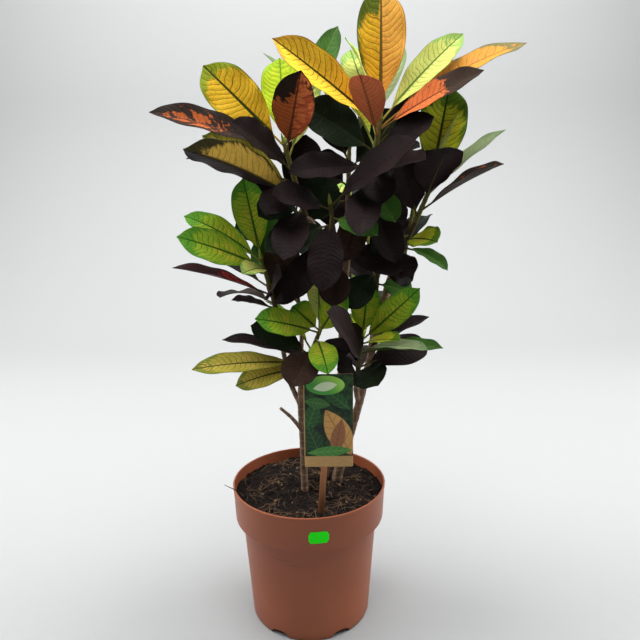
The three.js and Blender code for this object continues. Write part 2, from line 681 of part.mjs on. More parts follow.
function growLeaf(name, leaf) {
  const shoot = SHOOTS[name];
  const node = `${name}_${leaf.place >= shoot.young ? "young" : "mature"}_leaves`;
  const others = placed.filter((item) => item.node !== node);
  const own = placed.filter((item) => item.node === node && item.blade);
  const isClear = (swing, among, from, extra) => {
    const solid = leafSolid(shoot, leaf, swing, extra, from);
    const test = { solid, box: boxOf(solid) };
    const clear = !among.some((item) => crosses(test, item));
    solid.delete();
    return clear;
  };
  const clearOfOthers = SWINGS.filter((swing) => isClear(swing, others, 0, SEARCH.margin));
  const clearOfAll = clearOfOthers.find((option) => isClear(option, own, SEARCH.clearFrom, 0));
  const swing = clearOfAll ?? clearOfOthers[0];
  if (!swing) return;
  const solid = leafSolid(shoot, leaf, swing);
  tiers[node].solids.push(solid);
  placed.push({ node, solid, box: boxOf(solid), blade: true });
}

// The young tops grow first, so that they keep their places, then the mature leaves, then the fill.
const rows = Object.entries(LEAVES).flatMap(([name, list]) => (
  list.map((row) => ({ name, leaf: leafOf(row) }))
));
const isYoung = ({ name, leaf }) => leaf.place >= SHOOTS[name].young;
rows.filter(isYoung).forEach(({ name, leaf }) => growLeaf(name, leaf));
rows.filter((row) => !isYoung(row)).forEach(({ name, leaf }) => growLeaf(name, leaf));
Object.entries(FILL).forEach(([name, fill]) => {
  fillLeaves(SHOOTS[name], fill).forEach((leaf) => growLeaf(name, leaf));
});

addPart("pot", pot, "terracotta");
addPart("soil", soil, "peat");
trunks.forEach((trunk) => addPart(trunk.name, trunk.solid, "bark"));
Object.entries(tiers).forEach(([node, tier]) => addPart(node, joined(tier.solids), tier.look));
addPart("card_stick", stick, "softwood");
addPart("care_card", card, "card");
addPart("price_sticker", sticker, "neon");

export default plant;
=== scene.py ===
"""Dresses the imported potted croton: veined leaves, bark, compost, moulded pot, printed card and stage.

The plant's tables and leaf rule are the part's own, in millimetres, with a look added to each leaf.
"""

import math
from types import SimpleNamespace

import bpy
import numpy as np
from mathutils import Matrix, Vector, noise
from mathutils.kdtree import KDTree


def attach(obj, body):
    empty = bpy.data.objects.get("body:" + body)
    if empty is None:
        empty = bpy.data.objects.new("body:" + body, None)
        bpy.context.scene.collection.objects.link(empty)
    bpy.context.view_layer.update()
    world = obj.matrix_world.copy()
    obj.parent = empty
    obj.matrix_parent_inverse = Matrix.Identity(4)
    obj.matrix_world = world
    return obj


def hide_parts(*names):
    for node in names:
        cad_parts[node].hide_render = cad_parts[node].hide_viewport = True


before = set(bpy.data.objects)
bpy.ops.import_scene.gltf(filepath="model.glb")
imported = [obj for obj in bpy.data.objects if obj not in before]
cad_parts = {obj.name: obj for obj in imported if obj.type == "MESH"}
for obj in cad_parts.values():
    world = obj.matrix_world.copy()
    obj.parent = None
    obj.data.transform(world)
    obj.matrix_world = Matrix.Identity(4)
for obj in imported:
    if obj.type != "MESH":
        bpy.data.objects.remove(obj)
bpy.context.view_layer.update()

MM = 0.001
CLEARANCE = 0.3

# ---- Camera ----

# Its place and lens in mm, and how far it looks down and leans to the right, in degrees.
CAMERA = SimpleNamespace(place=(17.9, -832.4, 624.1), pitch=13.61, roll=0.70, lens=36.77, sensor=36.0)

# ---- Driving dimensions, as in the part ----

POT = SimpleNamespace(
    height=195,
    rim_radius=105,
    base_radius=82.7,
    shoulder_radius=93,
    collar_radius=102.4,
    collar_bottom=147,
    lip_height=4,
    lip_step=0.5,
    wall=1.9,
    floor=2.6,
    corner=2.5,
    sides=192,
)
DRAIN = SimpleNamespace(count=6, width=27, height=9, depth=14, first_angle=-60)
SOIL = SimpleNamespace(level=180, mound=4, lumps=1.2, rings=62)
CARD = SimpleNamespace(width=61, height=123, thickness=0.9, corner=2, x=27, y=-72, bottom=249)
STICK = SimpleNamespace(width=8, thickness=2.4, corner=1.2, foot=(9, 100), head=(29, 345))
STICKER = SimpleNamespace(
    width=26,
    height=16,
    thickness=0.3,
    glue=0.06,
    cut=4.4,
    cut_length=2.6,
    angle=-82.7,
    z=167.5,
)
LEAF = SimpleNamespace(petiole=0.13, blade=0.9, stations=(0.55, 0.86, 1.0))
BLADE = SimpleNamespace(widest=1.2, roundness=0.52, point=0.045, taper=1.1, wedge=0.16, fullness=1.04)
# How the part swings a leaf that has no room, in degrees, and when its corners count as found, in mm.
SEARCH = SimpleNamespace(step=6, rings=7, directions=6, found_within=0.03, found_share=0.6)

WOOD = {
    "trunk_right": [
        [(36, 21, 104, 7.5), (39, 21, 182, 7.5), (56, 20, 245, 6.2), (74, 20, 312, 5.4), (93, 16, 400, 5),
         (108, 6, 470, 4.4), (122, -3, 508, 4)],
        [(70, 20, 300, 4), (66, 8, 322, 3.8), (66, 0, 337, 3.8)],
        [(84, 19, 356, 4), (88, 32, 380, 3.8), (92, 42, 398, 3.8)],
        [(103, 10, 445, 4), (118, 24, 470, 3.6), (128, 34, 486, 3.6)],
        [(95, 15, 408, 3.6), (91, 4, 430, 3.4), (90, -2, 446, 3.4)],
    ],
    "trunk_centre": [
        [(20, 30, 110, 6), (21, 29, 182, 6), (34, 24, 250, 5.6), (45, 12, 330, 5.4), (48, 7, 420, 5.2),
         (53, 2, 500, 5), (66, -3, 545, 4.6), (76, -4, 566, 4.4)],
        [(49, 6, 440, 4), (34, 0, 500, 3.8), (12, -4, 545, 3.8), (2, -5, 556, 3.8)],
        [(51, 4, 470, 4), (54, 26, 520, 3.8), (56, 42, 552, 3.8)],
        [(48, 7, 410, 3.6), (38, 24, 436, 3.4), (36, 38, 452, 3.4)],
        [(48, 7, 425, 3.8), (46, -4, 455, 3.6), (44, -11, 477, 3.6)],
        [(48, 6, 445, 3.6), (36, 10, 475, 3.4), (27, 12, 497, 3.4)],
    ],
    "trunk_left": [
        [(-6, -10, 108, 5), (-6, -11, 182, 5), (-7, -14, 255, 4.6), (-9, -16, 318, 4.2), (-6, -16, 352, 4)],
        [(-9, -16, 310, 3.6), (-24, -8, 345, 3.4), (-32, -4, 390, 3.2), (-38, -7, 436, 3.2)],
        [(-8, -14, 265, 3.4), (-10, 12, 320, 3.2), (-8, 34, 380, 3), (-6, 40, 414, 3)],
        [(-7, -14, 272, 2.8), (-20, -22, 294, 2.4), (-35, -30, 312, 2)],
    ],
}

# Foot and apex of each leafy shoot, its radius at both, and the share of it where the young top begins.
SHOOTS = {
    "crown": ((76, -4, 567), (94, -8, 674), (4.4, 3), 0.5),
    "upper_left": ((1.5, -5, 557), (-23, -10, 646), (3.8, 2.8), 0.5),
    "right": ((122.2, -3, 508.4), (155, -14, 590), (3.9, 2.8), 0.5),
    "middle_left": ((-38, -7, 437), (-55, -12, 506), (3.2, 2.6), 0.5),
    "lower_left": ((-6, -16, 353), (18, -20, 414), (3.9, 2.6), 0.5),
    "lower_right": ((66, -1, 338), (73, -6, 402), (3.7, 2.6), 0.5),
    "inner": ((44, -12, 478), (32, -24, 574), (3.5, 2.6), 1),
    "inner_left": ((27.4, 12, 496), (-16, 32, 568), (3.3, 2.6), 1),
    "inner_right": ((90, -2.5, 447), (92, -28, 520), (3.3, 2.6), 1),
    "crown_back": ((56, 43, 553), (60, 66, 650), (3.7, 2.6), 0.55),
    "middle_back": ((36, 39, 453), (34, 74, 530), (3.3, 2.6), 0.55),
    "left_back": ((-6, 41, 415), (-22, 62, 486), (2.9, 2.4), 0.55),
    "right_back": ((92, 43, 399), (98, 66, 474), (3.7, 2.6), 0.55),
    "right_rear": ((128.5, 35, 487), (146, 58, 566), (3.5, 2.6), 0.55),
}

# Each leaf: place on the shoot, tip x, y, z, width, bend, turn of the upper face to the front, fold, and
# its look where it isn't dark.
LEAVES = {
    "inner": [
        (0.96, 126, -92, 645, 56, 20, 40, 12),
        (0.88, 21, -84, 476, 44, 24, 46, 16),
        (0.74, -40, -70, 517, 44, 24, 46, 16, "deep"),
        (0.82, 85, -82, 541, 34, 24, 50, 18, "green"),
        (0.92, -36, -66, 589, 42, 22, 46, 16),
        (0.56, -25, -60, 462, 42, 28, 50, 14),
        (0.4, 120, -48, 495, 40, 26, 54, 16),
        (0.24, 30, -56, 446, 40, 30, 54, 14, "umber"),
        (0.12, 5, -30, 501, 28, 20, 70, 14, "lime"),
    ],
    "crown": [
        (0.98, 96, 24, 825, 60, 14, 84, 14, "tan/gilt"),
        (0.92, -32, -40, 760, 50, 12, 62, 30, "amber"),
        (0.8, 64, -84, 715, 42, 10, -4, 20, "terracotta"),
        (0.86, 206, -52, 722, 40, 16, 40, 18, "red"),
        (0.95, 196, 20, 773, 40, 22, 48, 18, "lemon"),
        (0.88, 271, 10, 760, 46, 30, 24, 14, "peach"),
        (0.78, 62, 90, 767, 44, 16, 50, 12, "lemon"),
        (0.74, 186, 34, 754, 38, 16, 40, 22),
        (0.7, 217, 22, 738, 30, 18, 30, 22),
        (0.62, 1, -30, 688, 56, 24, 60, 12, "deep"),
        (0.52, 148, -40, 681, 44, 18, 44, 14),
        (0.46, -1, -70, 595, 46, 22, 44, 16),
        (0.48, 133, -60, 600, 42, 24, 44, 16, "mauve"),
        (0.34, 158, -70, 568, 42, 20, 44, 16),
        (0.26, 108, -60, 554, 34, 30, 56, 16, "green"),
        (0.18, 109, -60, 505, 40, 26, 50, 16),
        (0.3, 7, -74, 543, 42, 26, 46, 16),
        (0.12, 47, -56, 507, 38, 30, 54, 14, "umber"),
    ],
    "upper_left": [
        (0.95, -119, 4, 738, 58, 14, 74, 8, "gold"),
        (0.84, -177, -40, 682, 44, 20, 40, 26, "ember"),
        (0.22, -118, -104, 647, 62, 22, -36, 20, "mauve/gilded"),
        (0.88, 3, -56, 726, 54, 8, 70, 26, "brick/red"),
        (0.93, -28, 28, 749, 50, 14, 84, 12, "chartreuse"),
        (0.97, 45, 56, 790, 34, 14, 76, 14, "green"),
        (0.8, 19, 14, 717, 30, 12, 66, 20, "lemon"),
        (0.36, -107, -62, 656, 46, 16, 56, 14, "olive_gold"),
        (0.6, -80, -62, 669, 46, 24, 44, 16),
        (0.44, -148, 20, 656, 44, 30, 12, 22, "mauve"),
        (0.44, -66, -58, 605, 40, 24, 44, 18),
        (0.3, 59, -70, 597, 44, 22, 44, 16),
        (0.16, -28, -78, 500, 44, 28, 46, 16),
        (0.2, -53, -44, 555, 42, 30, 50, 16, "deep"),
    ],
    "right": [
        (0.96, 174, 14, 719, 60, 10, 84, 10, "olive"),
        (0.9, 251, 10, 660, 34, 12, 6, 18, "pale"),
        (0.8, 162, -92, 638, 56, 14, -4, 14),
        (0.66, 234, -52, 619, 46, 18, 10, 24, "ember"),
        (0.56, 120, -34, 627, 46, 24, 56, 12),
        (0.46, 95, -50, 593, 40, 22, 54, 14),
        (0.3, 81, -48, 518, 42, 30, 54, 14, "deep"),
        (0.2, 158, -60, 530, 42, 34, 50, 14, "olive"),
        (0.1, 175, -40, 493, 24, 44, 24, 20, "green"),
        (0.06, 119, -56, 494, 42, 40, 44, 14),
    ],
    "middle_left": [
        (0.96, -74, -16, 606, 44, 10, 82, 16, "lime"),
        (0.9, -148, -20, 561, 36, 46, 42, 14, "lime"),
        (0.82, -152, -70, 529, 42, 26, 56, 8, "lime"),
        (0.76, -73, -68, 496, 30, 40, 50, 20, "lemon"),
        (0.6, -54, 14, 583, 38, 18, 70, 14, "green"),
        (0.44, -135, 60, 541, 34, 22, 10, 20, "mauve"),
        (0.3, -162, -40, 500, 34, 18, 10, 22, "wine"),
        (0.4, -10, -38, 530, 46, 26, 60, 12, "umber"),
        (0.24, -15, -60, 492, 48, 36, 52, 14),
        (0.05, -94, -22, 455, 28, 18, 8, 18, "mauve"),
    ],
    "lower_left": [
        (0.94, -61, -62, 440, 38, 22, 50, 12, "lime"),
        (0.98, -18, -6, 443, 38, 18, 62, 12, "lime"),
        (0.9, 51, -52, 470, 36, 20, 60, 18, "lime"),
        (0.8, 27, -88, 377, 36, 50, 44, 10, "lime"),
        (0.24, -142, -58, 375, 34, 26, 34, 14, "olive_gold"),
        (0.14, -91, -38, 346, 34, 40, 44, 12, "olive_gold"),
        (0.34, -99, 14, 418, 34, 22, 8, 20, "mauve"),
        (0.36, 54, -60, 396, 40, 34, 44, 14),
        (0.44, -79, 0, 391, 40, 36, 40, 12, "deep"),
        (0.6, -23, -84, 349, 46, 30, 56, 12, "umber"),
    ],
    "lower_right": [
        (0.96, 78, -30, 475, 38, 16, 84, 10, "lime"),
        (0.9, 140, -50, 473, 36, 34, 74, 12, "lime"),
        (0.82, 114, -70, 413, 30, 20, 30, 16, "olive"),
        (0.7, 152, -52, 395, 30, 26, 12, 16, "pale"),
        (0.62, 175, -26, 398, 34, 24, 14, 18, "green"),
        (0.56, 168, 16, 411, 36, 22, 8, 20, "mauve"),
        (0.3, -16, -128, 441, 48, 24, 50, 12, "mauve"),
        (0.4, 35, -58, 429, 40, 24, 48, 16),
        (0.3, 128, 22, 443, 46, 26, 50, 12),
        (0.24, 89, -66, 354, 50, 40, 56, 10, "deep"),
        (0.12, 55, -44, 365, 44, 44, 50, 12),
    ],
    "inner_left": [
        (0.95, -75, 4, 596, 46, 22, 56, 16),
        (0.7, -91, 6, 538, 52, 30, 50, 14, "deep"),
        (0.9, 3, 30, 658, 52, 20, 70, 12),
        (0.5, -70, -10, 502, 52, 32, 52, 12, "green"),
        (0.3, -51, -10, 457, 50, 34, 50, 12),
        (0.6, 33, 26, 606, 50, 24, 66, 12, "deep"),
    ],
    "inner_right": [
        (0.95, 152, 10, 558, 46, 24, 56, 12),
        (0.76, 138, -40, 504, 40, 34, 50, 14),
        (0.6, 50, -50, 449, 40, 28, 54, 16, "deep"),
        (0.34, 135, -20, 457, 40, 36, 34, 12, "green"),
        (0.9, 118, 8, 588, 50, 20, 66, 12),
    ],
    "crown_back": [
        (0.9, -49, 42, 757, 24, 14, 20, 20, "pale"),
        (0.88, 133, 92, 774, 40, 16, 50, 16, "pale"),
        (0.7, 24, 60, 707, 50, 18, 76, 12),
        (0.6, 126, 60, 686, 52, 20, 70, 12, "deep"),
        (0.4, 7, 50, 626, 54, 20, 66, 12),
        (0.45, 121, 60, 628, 54, 20, 66, 12),
        (0.2, -7, 40, 570, 54, 24, 60, 12, "deep"),
        (0.2, 124, 50, 565, 52, 24, 60, 12),
    ],
    "middle_back": [
        (0.8, -9, 80, 521, 54, 24, 62, 12, "deep"),
        (0.6, 93, 90, 485, 46, 24, 60, 12),
        (0.95, 34, 90, 586, 52, 20, 70, 12),
    ],
}

# Leaves that fill a shoot all round: count, first azimuth, kept from and to, least and greatest length.
FILL = {
    "crown": (4, 25, 20, 170, 120, 160),
    "upper_left": (3, 75, 50, 190, 110, 150),
    "right": (3, 75, 50, 150, 100, 140),
    "middle_left": (2, 100, 60, 140, 90, 120),
    "lower_left": (3, 120, 70, 170, 85, 110),
    "lower_right": (3, 60, 40, 140, 85, 110),
    "crown_back": (5, 60, 10, 170, 120, 160),
    "middle_back": (5, 50, 20, 160, 110, 145),
    "left_back": (5, 110, 50, 180, 105, 135),
    "right_back": (5, 80, 50, 160, 105, 135),
    "right_rear": (5, 90, 60, 160, 110, 145),
}
# The two ends of each range, from the shoot's foot to its apex or from the least draw to the greatest.
FILL_RULE = {
    "place": (0.12, 0.94),
    "rise": (6, 58),
    "steeper": (0, 14),
    "width": (0.36, 0.42),
    "bend": (16, 46),
    "face": (-6, -26),
    "fold": (10, 24),
}
GOLDEN_ANGLE = 137.5
FILL_SEED = 4711
FINE_SEED = 90210
GOLDEN = ("crown", "upper_left")  # shoots whose young tier is the golden leaf of the record
YOUNG_FILL_LOOKS = ("lime", "lemon", "olive", "gold")
MATURE_FILL_LOOKS = ("dark", "deep", "umber", "mauve")

# Colours of each look, as 0-255 screen colours: blade, margin and tip, veins, blotches, underside. Then the
# strength of the veins, the spread of the margin's colour, and the blotches' share, first and last place.
LOOKS = {
    "gold": ((224, 176, 42), (134, 146, 34), (48, 58, 16), (224, 148, 54), (204, 156, 76),
             1.0, 0.3, 0.1, 0.1, 1),
    "gilt": ((214, 164, 34), (88, 100, 28), (44, 52, 14), (200, 142, 44), (196, 150, 70),
             1.0, 0.43, 0.1, 0.1, 1),
    "tan": ((218, 158, 64), (204, 150, 66), (70, 60, 24), (206, 132, 60), (200, 152, 84),
            0.9, 0.1, 0.1, 0, 1),
    "amber": ((248, 204, 58), (226, 172, 58), (62, 54, 20), (240, 166, 62), (214, 152, 70),
              1.0, 0.15, 0.1, 0.3, 1),
    "terracotta": ((250, 140, 94), (206, 104, 70), (60, 34, 22), (252, 158, 108), (228, 124, 80),
                   1.0, 0.12, 0.3, 0, 1),
    "red": ((46, 35, 28), (40, 31, 25), (46, 27, 19), (184, 94, 48), (104, 56, 40),
            0.8, 0.1, 0.92, -0.4, 0.62),
    "brick": ((190, 88, 54), (84, 46, 34), (58, 32, 22), (222, 120, 68), (120, 62, 44),
              0.8, 0.28, 0.5, 0, 1),
    "ember": ((42, 32, 28), (38, 30, 27), (32, 24, 21), (160, 80, 38), (58, 42, 41),
              0.6, 0.1, 0.44, 0.34, 0.9),
    "lemon": ((186, 190, 98), (130, 160, 80), (80, 106, 42), (196, 194, 104), (188, 184, 94),
              1.0, 0.25, 0.2, 0, 1),
    "lime": ((146, 174, 42), (90, 146, 42), (48, 88, 22), (178, 180, 50), (150, 160, 72),
             1.0, 0.34, 0.5, -0.2, 0.6),
    "olive_gold": ((172, 158, 62), (120, 128, 46), (58, 64, 26), (188, 158, 74), (150, 134, 80),
                   1.0, 0.3, 0.3, 0, 1),
    "olive": ((186, 194, 46), (92, 126, 34), (44, 68, 19), (196, 176, 46), (116, 124, 52),
              1.0, 0.42, 0.4, -0.2, 0.7),
    "gilded": ((176, 156, 56), (58, 50, 32), (58, 64, 26), (190, 158, 72), (236, 190, 84),
               1.0, 0.36, 0.3, 0, 1),
    "chartreuse": ((184, 210, 40), (160, 192, 42), (84, 122, 26), (196, 206, 48), (176, 196, 60),
                   0.8, 0.2, 0.3, 0, 1),
    "pale": ((134, 148, 108), (110, 130, 90), (84, 104, 60), (146, 150, 104), (120, 134, 106),
             0.5, 0.2, 0.1, 0, 1),
    "peach": ((188, 128, 42), (98, 96, 58), (104, 74, 34), (190, 120, 54), (186, 130, 46),
              0.8, 0.3, 0.3, 0, 1),
    "green": ((54, 92, 34), (44, 78, 30), (88, 116, 46), (68, 102, 36), (58, 78, 42),
              0.5, 0.2, 0.2, 0, 1),
    "deep": ((22, 32, 19), (18, 27, 17), (34, 48, 24), (28, 41, 20), (34, 28, 27),
             0.4, 0.2, 0.2, 0, 1),
    "dark": ((27, 17, 19), (22, 14, 16), (18, 12, 13), (31, 21, 20), (37, 25, 28),
             0.35, 0.2, 0.2, 0, 1),
    "umber": ((46, 31, 25), (38, 26, 22), (28, 21, 17), (56, 38, 29), (52, 38, 33),
              0.4, 0.2, 0.3, 0, 1),
    "mauve": ((39, 27, 30), (33, 24, 27), (26, 19, 21), (45, 32, 32), (50, 36, 41),
              0.4, 0.2, 0.2, 0, 1),
    "wine": ((50, 24, 27), (42, 27, 29), (30, 18, 20), (146, 40, 38), (84, 34, 40),
             0.5, 0.1, 0.56, -0.1, 0.5),
}
PETIOLE_COLOUR = (104, 98, 48)
# Leaf motifs of the card: foot, direction, length and half width in half card widths, and two colours.
PRINTED_LEAVES = [
    ((-0.95, 1.5), 70, 1.5, 0.34, (34, 78, 40), (84, 122, 60)),
    ((0.9, 2.5), 140, 1.5, 0.3, (30, 70, 38), (80, 116, 56)),
    ((-1.0, 2.9), -10, 1.1, 0.24, (48, 96, 46), (98, 134, 66)),
    ((-0.3, 0.4), 112, 1.6, 0.36, (26, 62, 36), (70, 108, 54)),
    ((0.95, 0.5), 118, 2.3, 0.52, (196, 148, 84), (142, 92, 48)),
    ((0.2, 0.45), 78, 1.7, 0.3, (150, 98, 62), (104, 60, 38)),
    ((-0.9, 0.62), 4, 1.9, 0.24, (70, 132, 60), (122, 166, 84)),
]
YOUNG_STEM = (92, 88, 46)
MATURE_STEM = (78, 64, 44)
# Rings of the bud on each shoot: their distance from its apex, and their radius, in mm.
BUD = ((-3, 2.2), (2, 2.5), (7, 1.7), (11, 0.8), (13, 0.2))
BUD_COLOUR = (120, 128, 50)

# The fine blade: its grid of points, thickness, the height of the margin's wave on a broad leaf, how many
# waves, that leaf's width and the least half width, in mm. The crease rounds the fold, in half widths.
FINE = SimpleNamespace(
    rows=34,
    columns=15,
    thickness=0.5,
    wave=1.6,
    waves=(2.2, 3.6),
    broad_leaf=58,
    least_half=0.35,
    crease=0.012,
    crease_depth=0.11,
)
# The rib under a leaf: where it ends, and its radius and depth in mm, against shares of the leaf's length.
RIB = SimpleNamespace(
    end=0.86,
    radius=((0, 0.03, LEAF.petiole, 0.3, 0.86), (1.8, 1.35, 1.25, 0.8, 0.3)),
    sunk=((0, LEAF.petiole, 0.3, 0.86), (0, 0.35, 0.62, 0.3)),
)
# Side veins: fewest pairs and how many more, and how far they lag, hook, drift and stagger, in pairs.
VEINS = SimpleNamespace(pairs=14.0, more=5.0, lag=1.3, hook=1.1, drift=2.2, stagger=0.45)
# Loose fibres and bark on the compost, in mm: how many, and the least and greatest of each draw.
LITTER = SimpleNamespace(
    seed=5150,
    fibres=330,
    length=(8, 40),
    curl=(-2.2, 2.2),
    kink=(-0.35, 0.35),
    thick=(0.14, 0.32),
    chips=260,
    chip=(0.8, 3.0),
    chip_thick=(0.5, 0.8),
    steps=6,
)
PEAT_SLOT, FIBRE_SLOT = 0, 1
STRAY_FIBRE = [(-88, -26, 184, 0.7), (-97, -29, 194, 0.65), (-105, -31, 199.5, 0.55), (-113, -33, 205, 0.4)]
STAGE = SimpleNamespace(back=2.2, curve=0.9, high=4.5, wide=6.0, front=-3.0, colour=(146, 147, 147))
# Place, aim, size and power of each light, in metres and watts, and the world's strength.
LIGHTS = {
    "left": ((-1.9, 0.35, 1.5), (0, 0, 0.45), 1.6, 52),
    "right": ((1.9, 0.4, 1.4), (0, 0, 0.45), 1.6, 46),
    "top": ((0.1, -0.45, 2.5), (0, 0, 0.5), 1.4, 44),
    "backdrop": ((0, 0.6, 2.7), (0, 2.2, 1.25), 2.4, 125),
}
WORLD_STRENGTH = 0.37
FULL_TURN = 2 * math.pi


# ---- Numbers ----

def linear(colour):
    """A 0-255 screen colour as the linear light that materials work in."""
    share = np.asarray(colour, float) / 255
    return np.where(share <= 0.04045, share / 12.92, ((share + 0.055) / 1.055) ** 2.4)


def rgba(colour):
    return (*linear(colour), 1.0)


def unit(v):
    return v / np.linalg.norm(v)


def polar(radius, angle):
    return radius * math.cos(angle), radius * math.sin(angle)


def between(ends, share):
    return ends[0] + (ends[1] - ends[0]) * share


def smooth(low, high, x):
    """A step from 0 at low to 1 at high, smooth at both."""
    t = np.clip((x - low) / (high - low), 0, 1)
    return t * t * (3 - 2 * t)


class Draw:
    """A repeatable draw between 0 and 1."""

    def __init__(self, seed):
        self.state = seed

    def __call__(self, low=0.0, high=1.0):
        self.state = (self.state * 16807) % 2147483647
        return low + (high - low) * self.state / 2147483647


# ---- Pieces ----

LOOK_LAYERS = ("lamina", "margin", "veins", "blotch", "leafco")


def add_object(name, data):
    made = bpy.data.objects.new(name, data)
    bpy.context.scene.collection.objects.link(made)
    return made


class Piece:
    """Points in millimetres, faces and looks at each point, which become one Blender object."""

    def __init__(self, name):
        self.name = name
        self.points = []
        self.faces = []
        self.slots = []
        self.layers = {layer: [] for layer in LOOK_LAYERS}
        self.count = 0

    def add(self, points, faces, slot=0, **layers):
        points = np.asarray(points, float).reshape(-1, 3)
        self.points.append(points)
        self.faces.extend([tuple(i + self.count for i in face) for face in faces])
        self.slots.extend([slot] * len(faces))
        for layer in LOOK_LAYERS:
            value = np.asarray(layers.get(layer, (0, 0, 0, 0)), float)
            self.layers[layer].append(np.broadcast_to(value, (len(points), 4)))
        self.count += len(points)

    def build(self, *materials, sharp=50):
        """The finished object; edges over the sharp angle, in degrees, stay sharp."""
        mesh = bpy.data.meshes.new(self.name)
        mesh.from_pydata((np.concatenate(self.points) * MM).tolist(), [], self.faces)
        for layer in LOOK_LAYERS:
            attribute = mesh.attributes.new(layer, "FLOAT_COLOR", "POINT")
            values = np.concatenate(self.layers[layer]).astype(np.float32)
            attribute.data.foreach_set("color", values.ravel())
        for material in materials:
            mesh.materials.append(material)
        mesh.polygons.foreach_set("material_index", self.slots)
        mesh.shade_smooth()
        mesh.set_sharp_from_angle(angle=math.radians(sharp))
        mesh.update()
        return add_object(self.name, mesh)


def dress(piece, node):
    """Puts a finished piece in the stead of a CAD node."""
    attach(piece, "root")
    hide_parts(node)


def ring_faces(rings, sides, closed=True):
    """Faces of a tube of rings, and its two ends where it is closed."""
    faces = []
    for ring in range(rings - 1):
        for side in range(sides):
            a = ring * sides + side
            b = ring * sides + (side + 1) % sides
            faces.append((a, b, b + sides, a + sides))
    if closed:
        faces.append(tuple(reversed(range(sides))))
        faces.append(tuple(range((rings - 1) * sides, rings * sides)))
    return faces


def spline(points, steps):
    """A smooth run through points, with its first and last kept."""
    points = np.asarray(points, float)
    ends = np.vstack([2 * points[0] - points[1], points, 2 * points[-1] - points[-2]])
    run = []
    for a, b, c, d in zip(ends, ends[1:], ends[2:], ends[3:]):
        for t in np.linspace(0, 1, steps, endpoint=False):
            run.append(0.5 * (2 * b + (c - a) * t + (2 * a - 5 * b + 4 * c - d) * t * t
                              + (3 * b - a - 3 * c + d) * t ** 3))
    return np.array([*run, points[-1]])


def tube(run, sides):
    """Points and faces of a round rod through [x, y, z, radius] points."""
    run = np.asarray(run, float)
    centres = run[:, :3]
    tangents = np.gradient(centres, axis=0)
    tangents /= np.linalg.norm(tangents, axis=1)[:, None]
    helper = np.array((0.0, 1.0, 0.0)) if abs(tangents[0][1]) < 0.9 else np.array((1.0, 0.0, 0.0))
    angles = np.linspace(0, FULL_TURN, sides, endpoint=False)
    points = []
    for centre, tangent, radius in zip(centres, tangents, run[:, 3]):
        across = unit(np.cross(helper, tangent))
        over = np.cross(tangent, across)
        points.append(centre + radius * (np.outer(np.cos(angles), across) + np.outer(np.sin(angles), over)))
    return np.concatenate(points), ring_faces(len(run), sides)


# ---- Leaves ----

def blade_share(t):
    """Half width of a blade, as a share of its greatest, from its foot (0) to its tip (1)."""
    t = np.asarray(t, float)
    u = t ** BLADE.widest
    full = np.maximum(4 * u * (1 - u), 0) ** BLADE.roundness
    tip = 1 - np.exp(-((np.maximum(1 - t, 0) / BLADE.point) ** BLADE.taper))
    foot = 1 - np.exp(-t / BLADE.wedge)
    return full * tip * foot * BLADE.fullness


def root_of(shoot, place):
    return between(np.array(shoot[:2], float), place)


def leaf_frame(shoot, leaf, swing):
    """Root, length and directions of a leaf that is swung by two angles: round the stem, and up."""
    root = root_of(shoot, leaf["place"])
    chord = np.array(leaf["tip"], float) - root
    length = np.linalg.norm(chord)
    azimuth = math.atan2(chord[1], chord[0]) + math.radians(swing[0])
    rise = min(math.asin(chord[2] / length) + math.radians(swing[1]), math.radians(86))
    along = np.array((*polar(math.cos(rise), azimuth), math.sin(rise)))
    face = math.radians(leaf["face"])
    hint = np.array((0, -math.sin(face), math.cos(face)))
    over = unit(hint - along * hint.dot(along))
    return SimpleNamespace(root=root, length=length, along=along, over=over, across=np.cross(over, along))


def midrib(held, leaf, s):
    """Centre and normal of the leaf's midrib at shares s of its length."""
    bend = math.radians(leaf["bend"])
    radius = held.length / (2 * math.sin(bend / 2))
    angle = bend * (0.5 - np.asarray(s, float))
    centre = (held.root + np.outer(radius * (math.sin(bend / 2) - np.sin(angle)), held.along)
              + np.outer(radius * (np.cos(angle) - math.cos(bend / 2)), held.over))
    return centre, np.outer(np.cos(angle), held.over) - np.outer(np.sin(angle), held.along)


def blade_midrib(held, leaf, t):
    """The same at shares t of the blade alone."""
    return midrib(held, leaf, LEAF.petiole + (1 - LEAF.petiole) * t)


def solid_corners(shoot, leaf, swing):
    """Corners of the part's own leaf solid near its tip, which tell where that leaf was placed."""
    held = leaf_frame(shoot, leaf, swing)
    fold = math.radians(leaf["fold"])
    t = np.array(LEAF.stations)
    centre, normal = blade_midrib(held, leaf, t)
    half = leaf["width"] / 2 * np.where(t >= 1, 0, blade_share(t))
    corners = []
    for side in (-1, 0, 1):
        for face in (-1, 1):
            lift = abs(side) * half * math.sin(fold) + face * LEAF.blade / 2
            corner = centre + np.outer(side * half * math.cos(fold), held.across)
            corners.append(corner + normal * lift[:, None])
    return np.concatenate(corners)


def swings():
    """The swings that the part tries for each leaf, in its order."""
    yield (0.0, 0.0)
    for ring in range(1, SEARCH.rings + 1):
        for k in range(SEARCH.directions):
            yield polar(SEARCH.step * ring, FULL_TURN * k / SEARCH.directions + math.pi / 2 * (ring % 2))


def placed_swing(shoot, leaf, tree):
    """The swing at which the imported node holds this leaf, or None where the part left it out."""
    for swing in swings():
        corners = solid_corners(shoot, leaf, swing)
        found = sum(tree.find(Vector(corner))[2] < SEARCH.found_within for corner in corners)
        if found >= SEARCH.found_share * len(corners):
            return swing
    return None


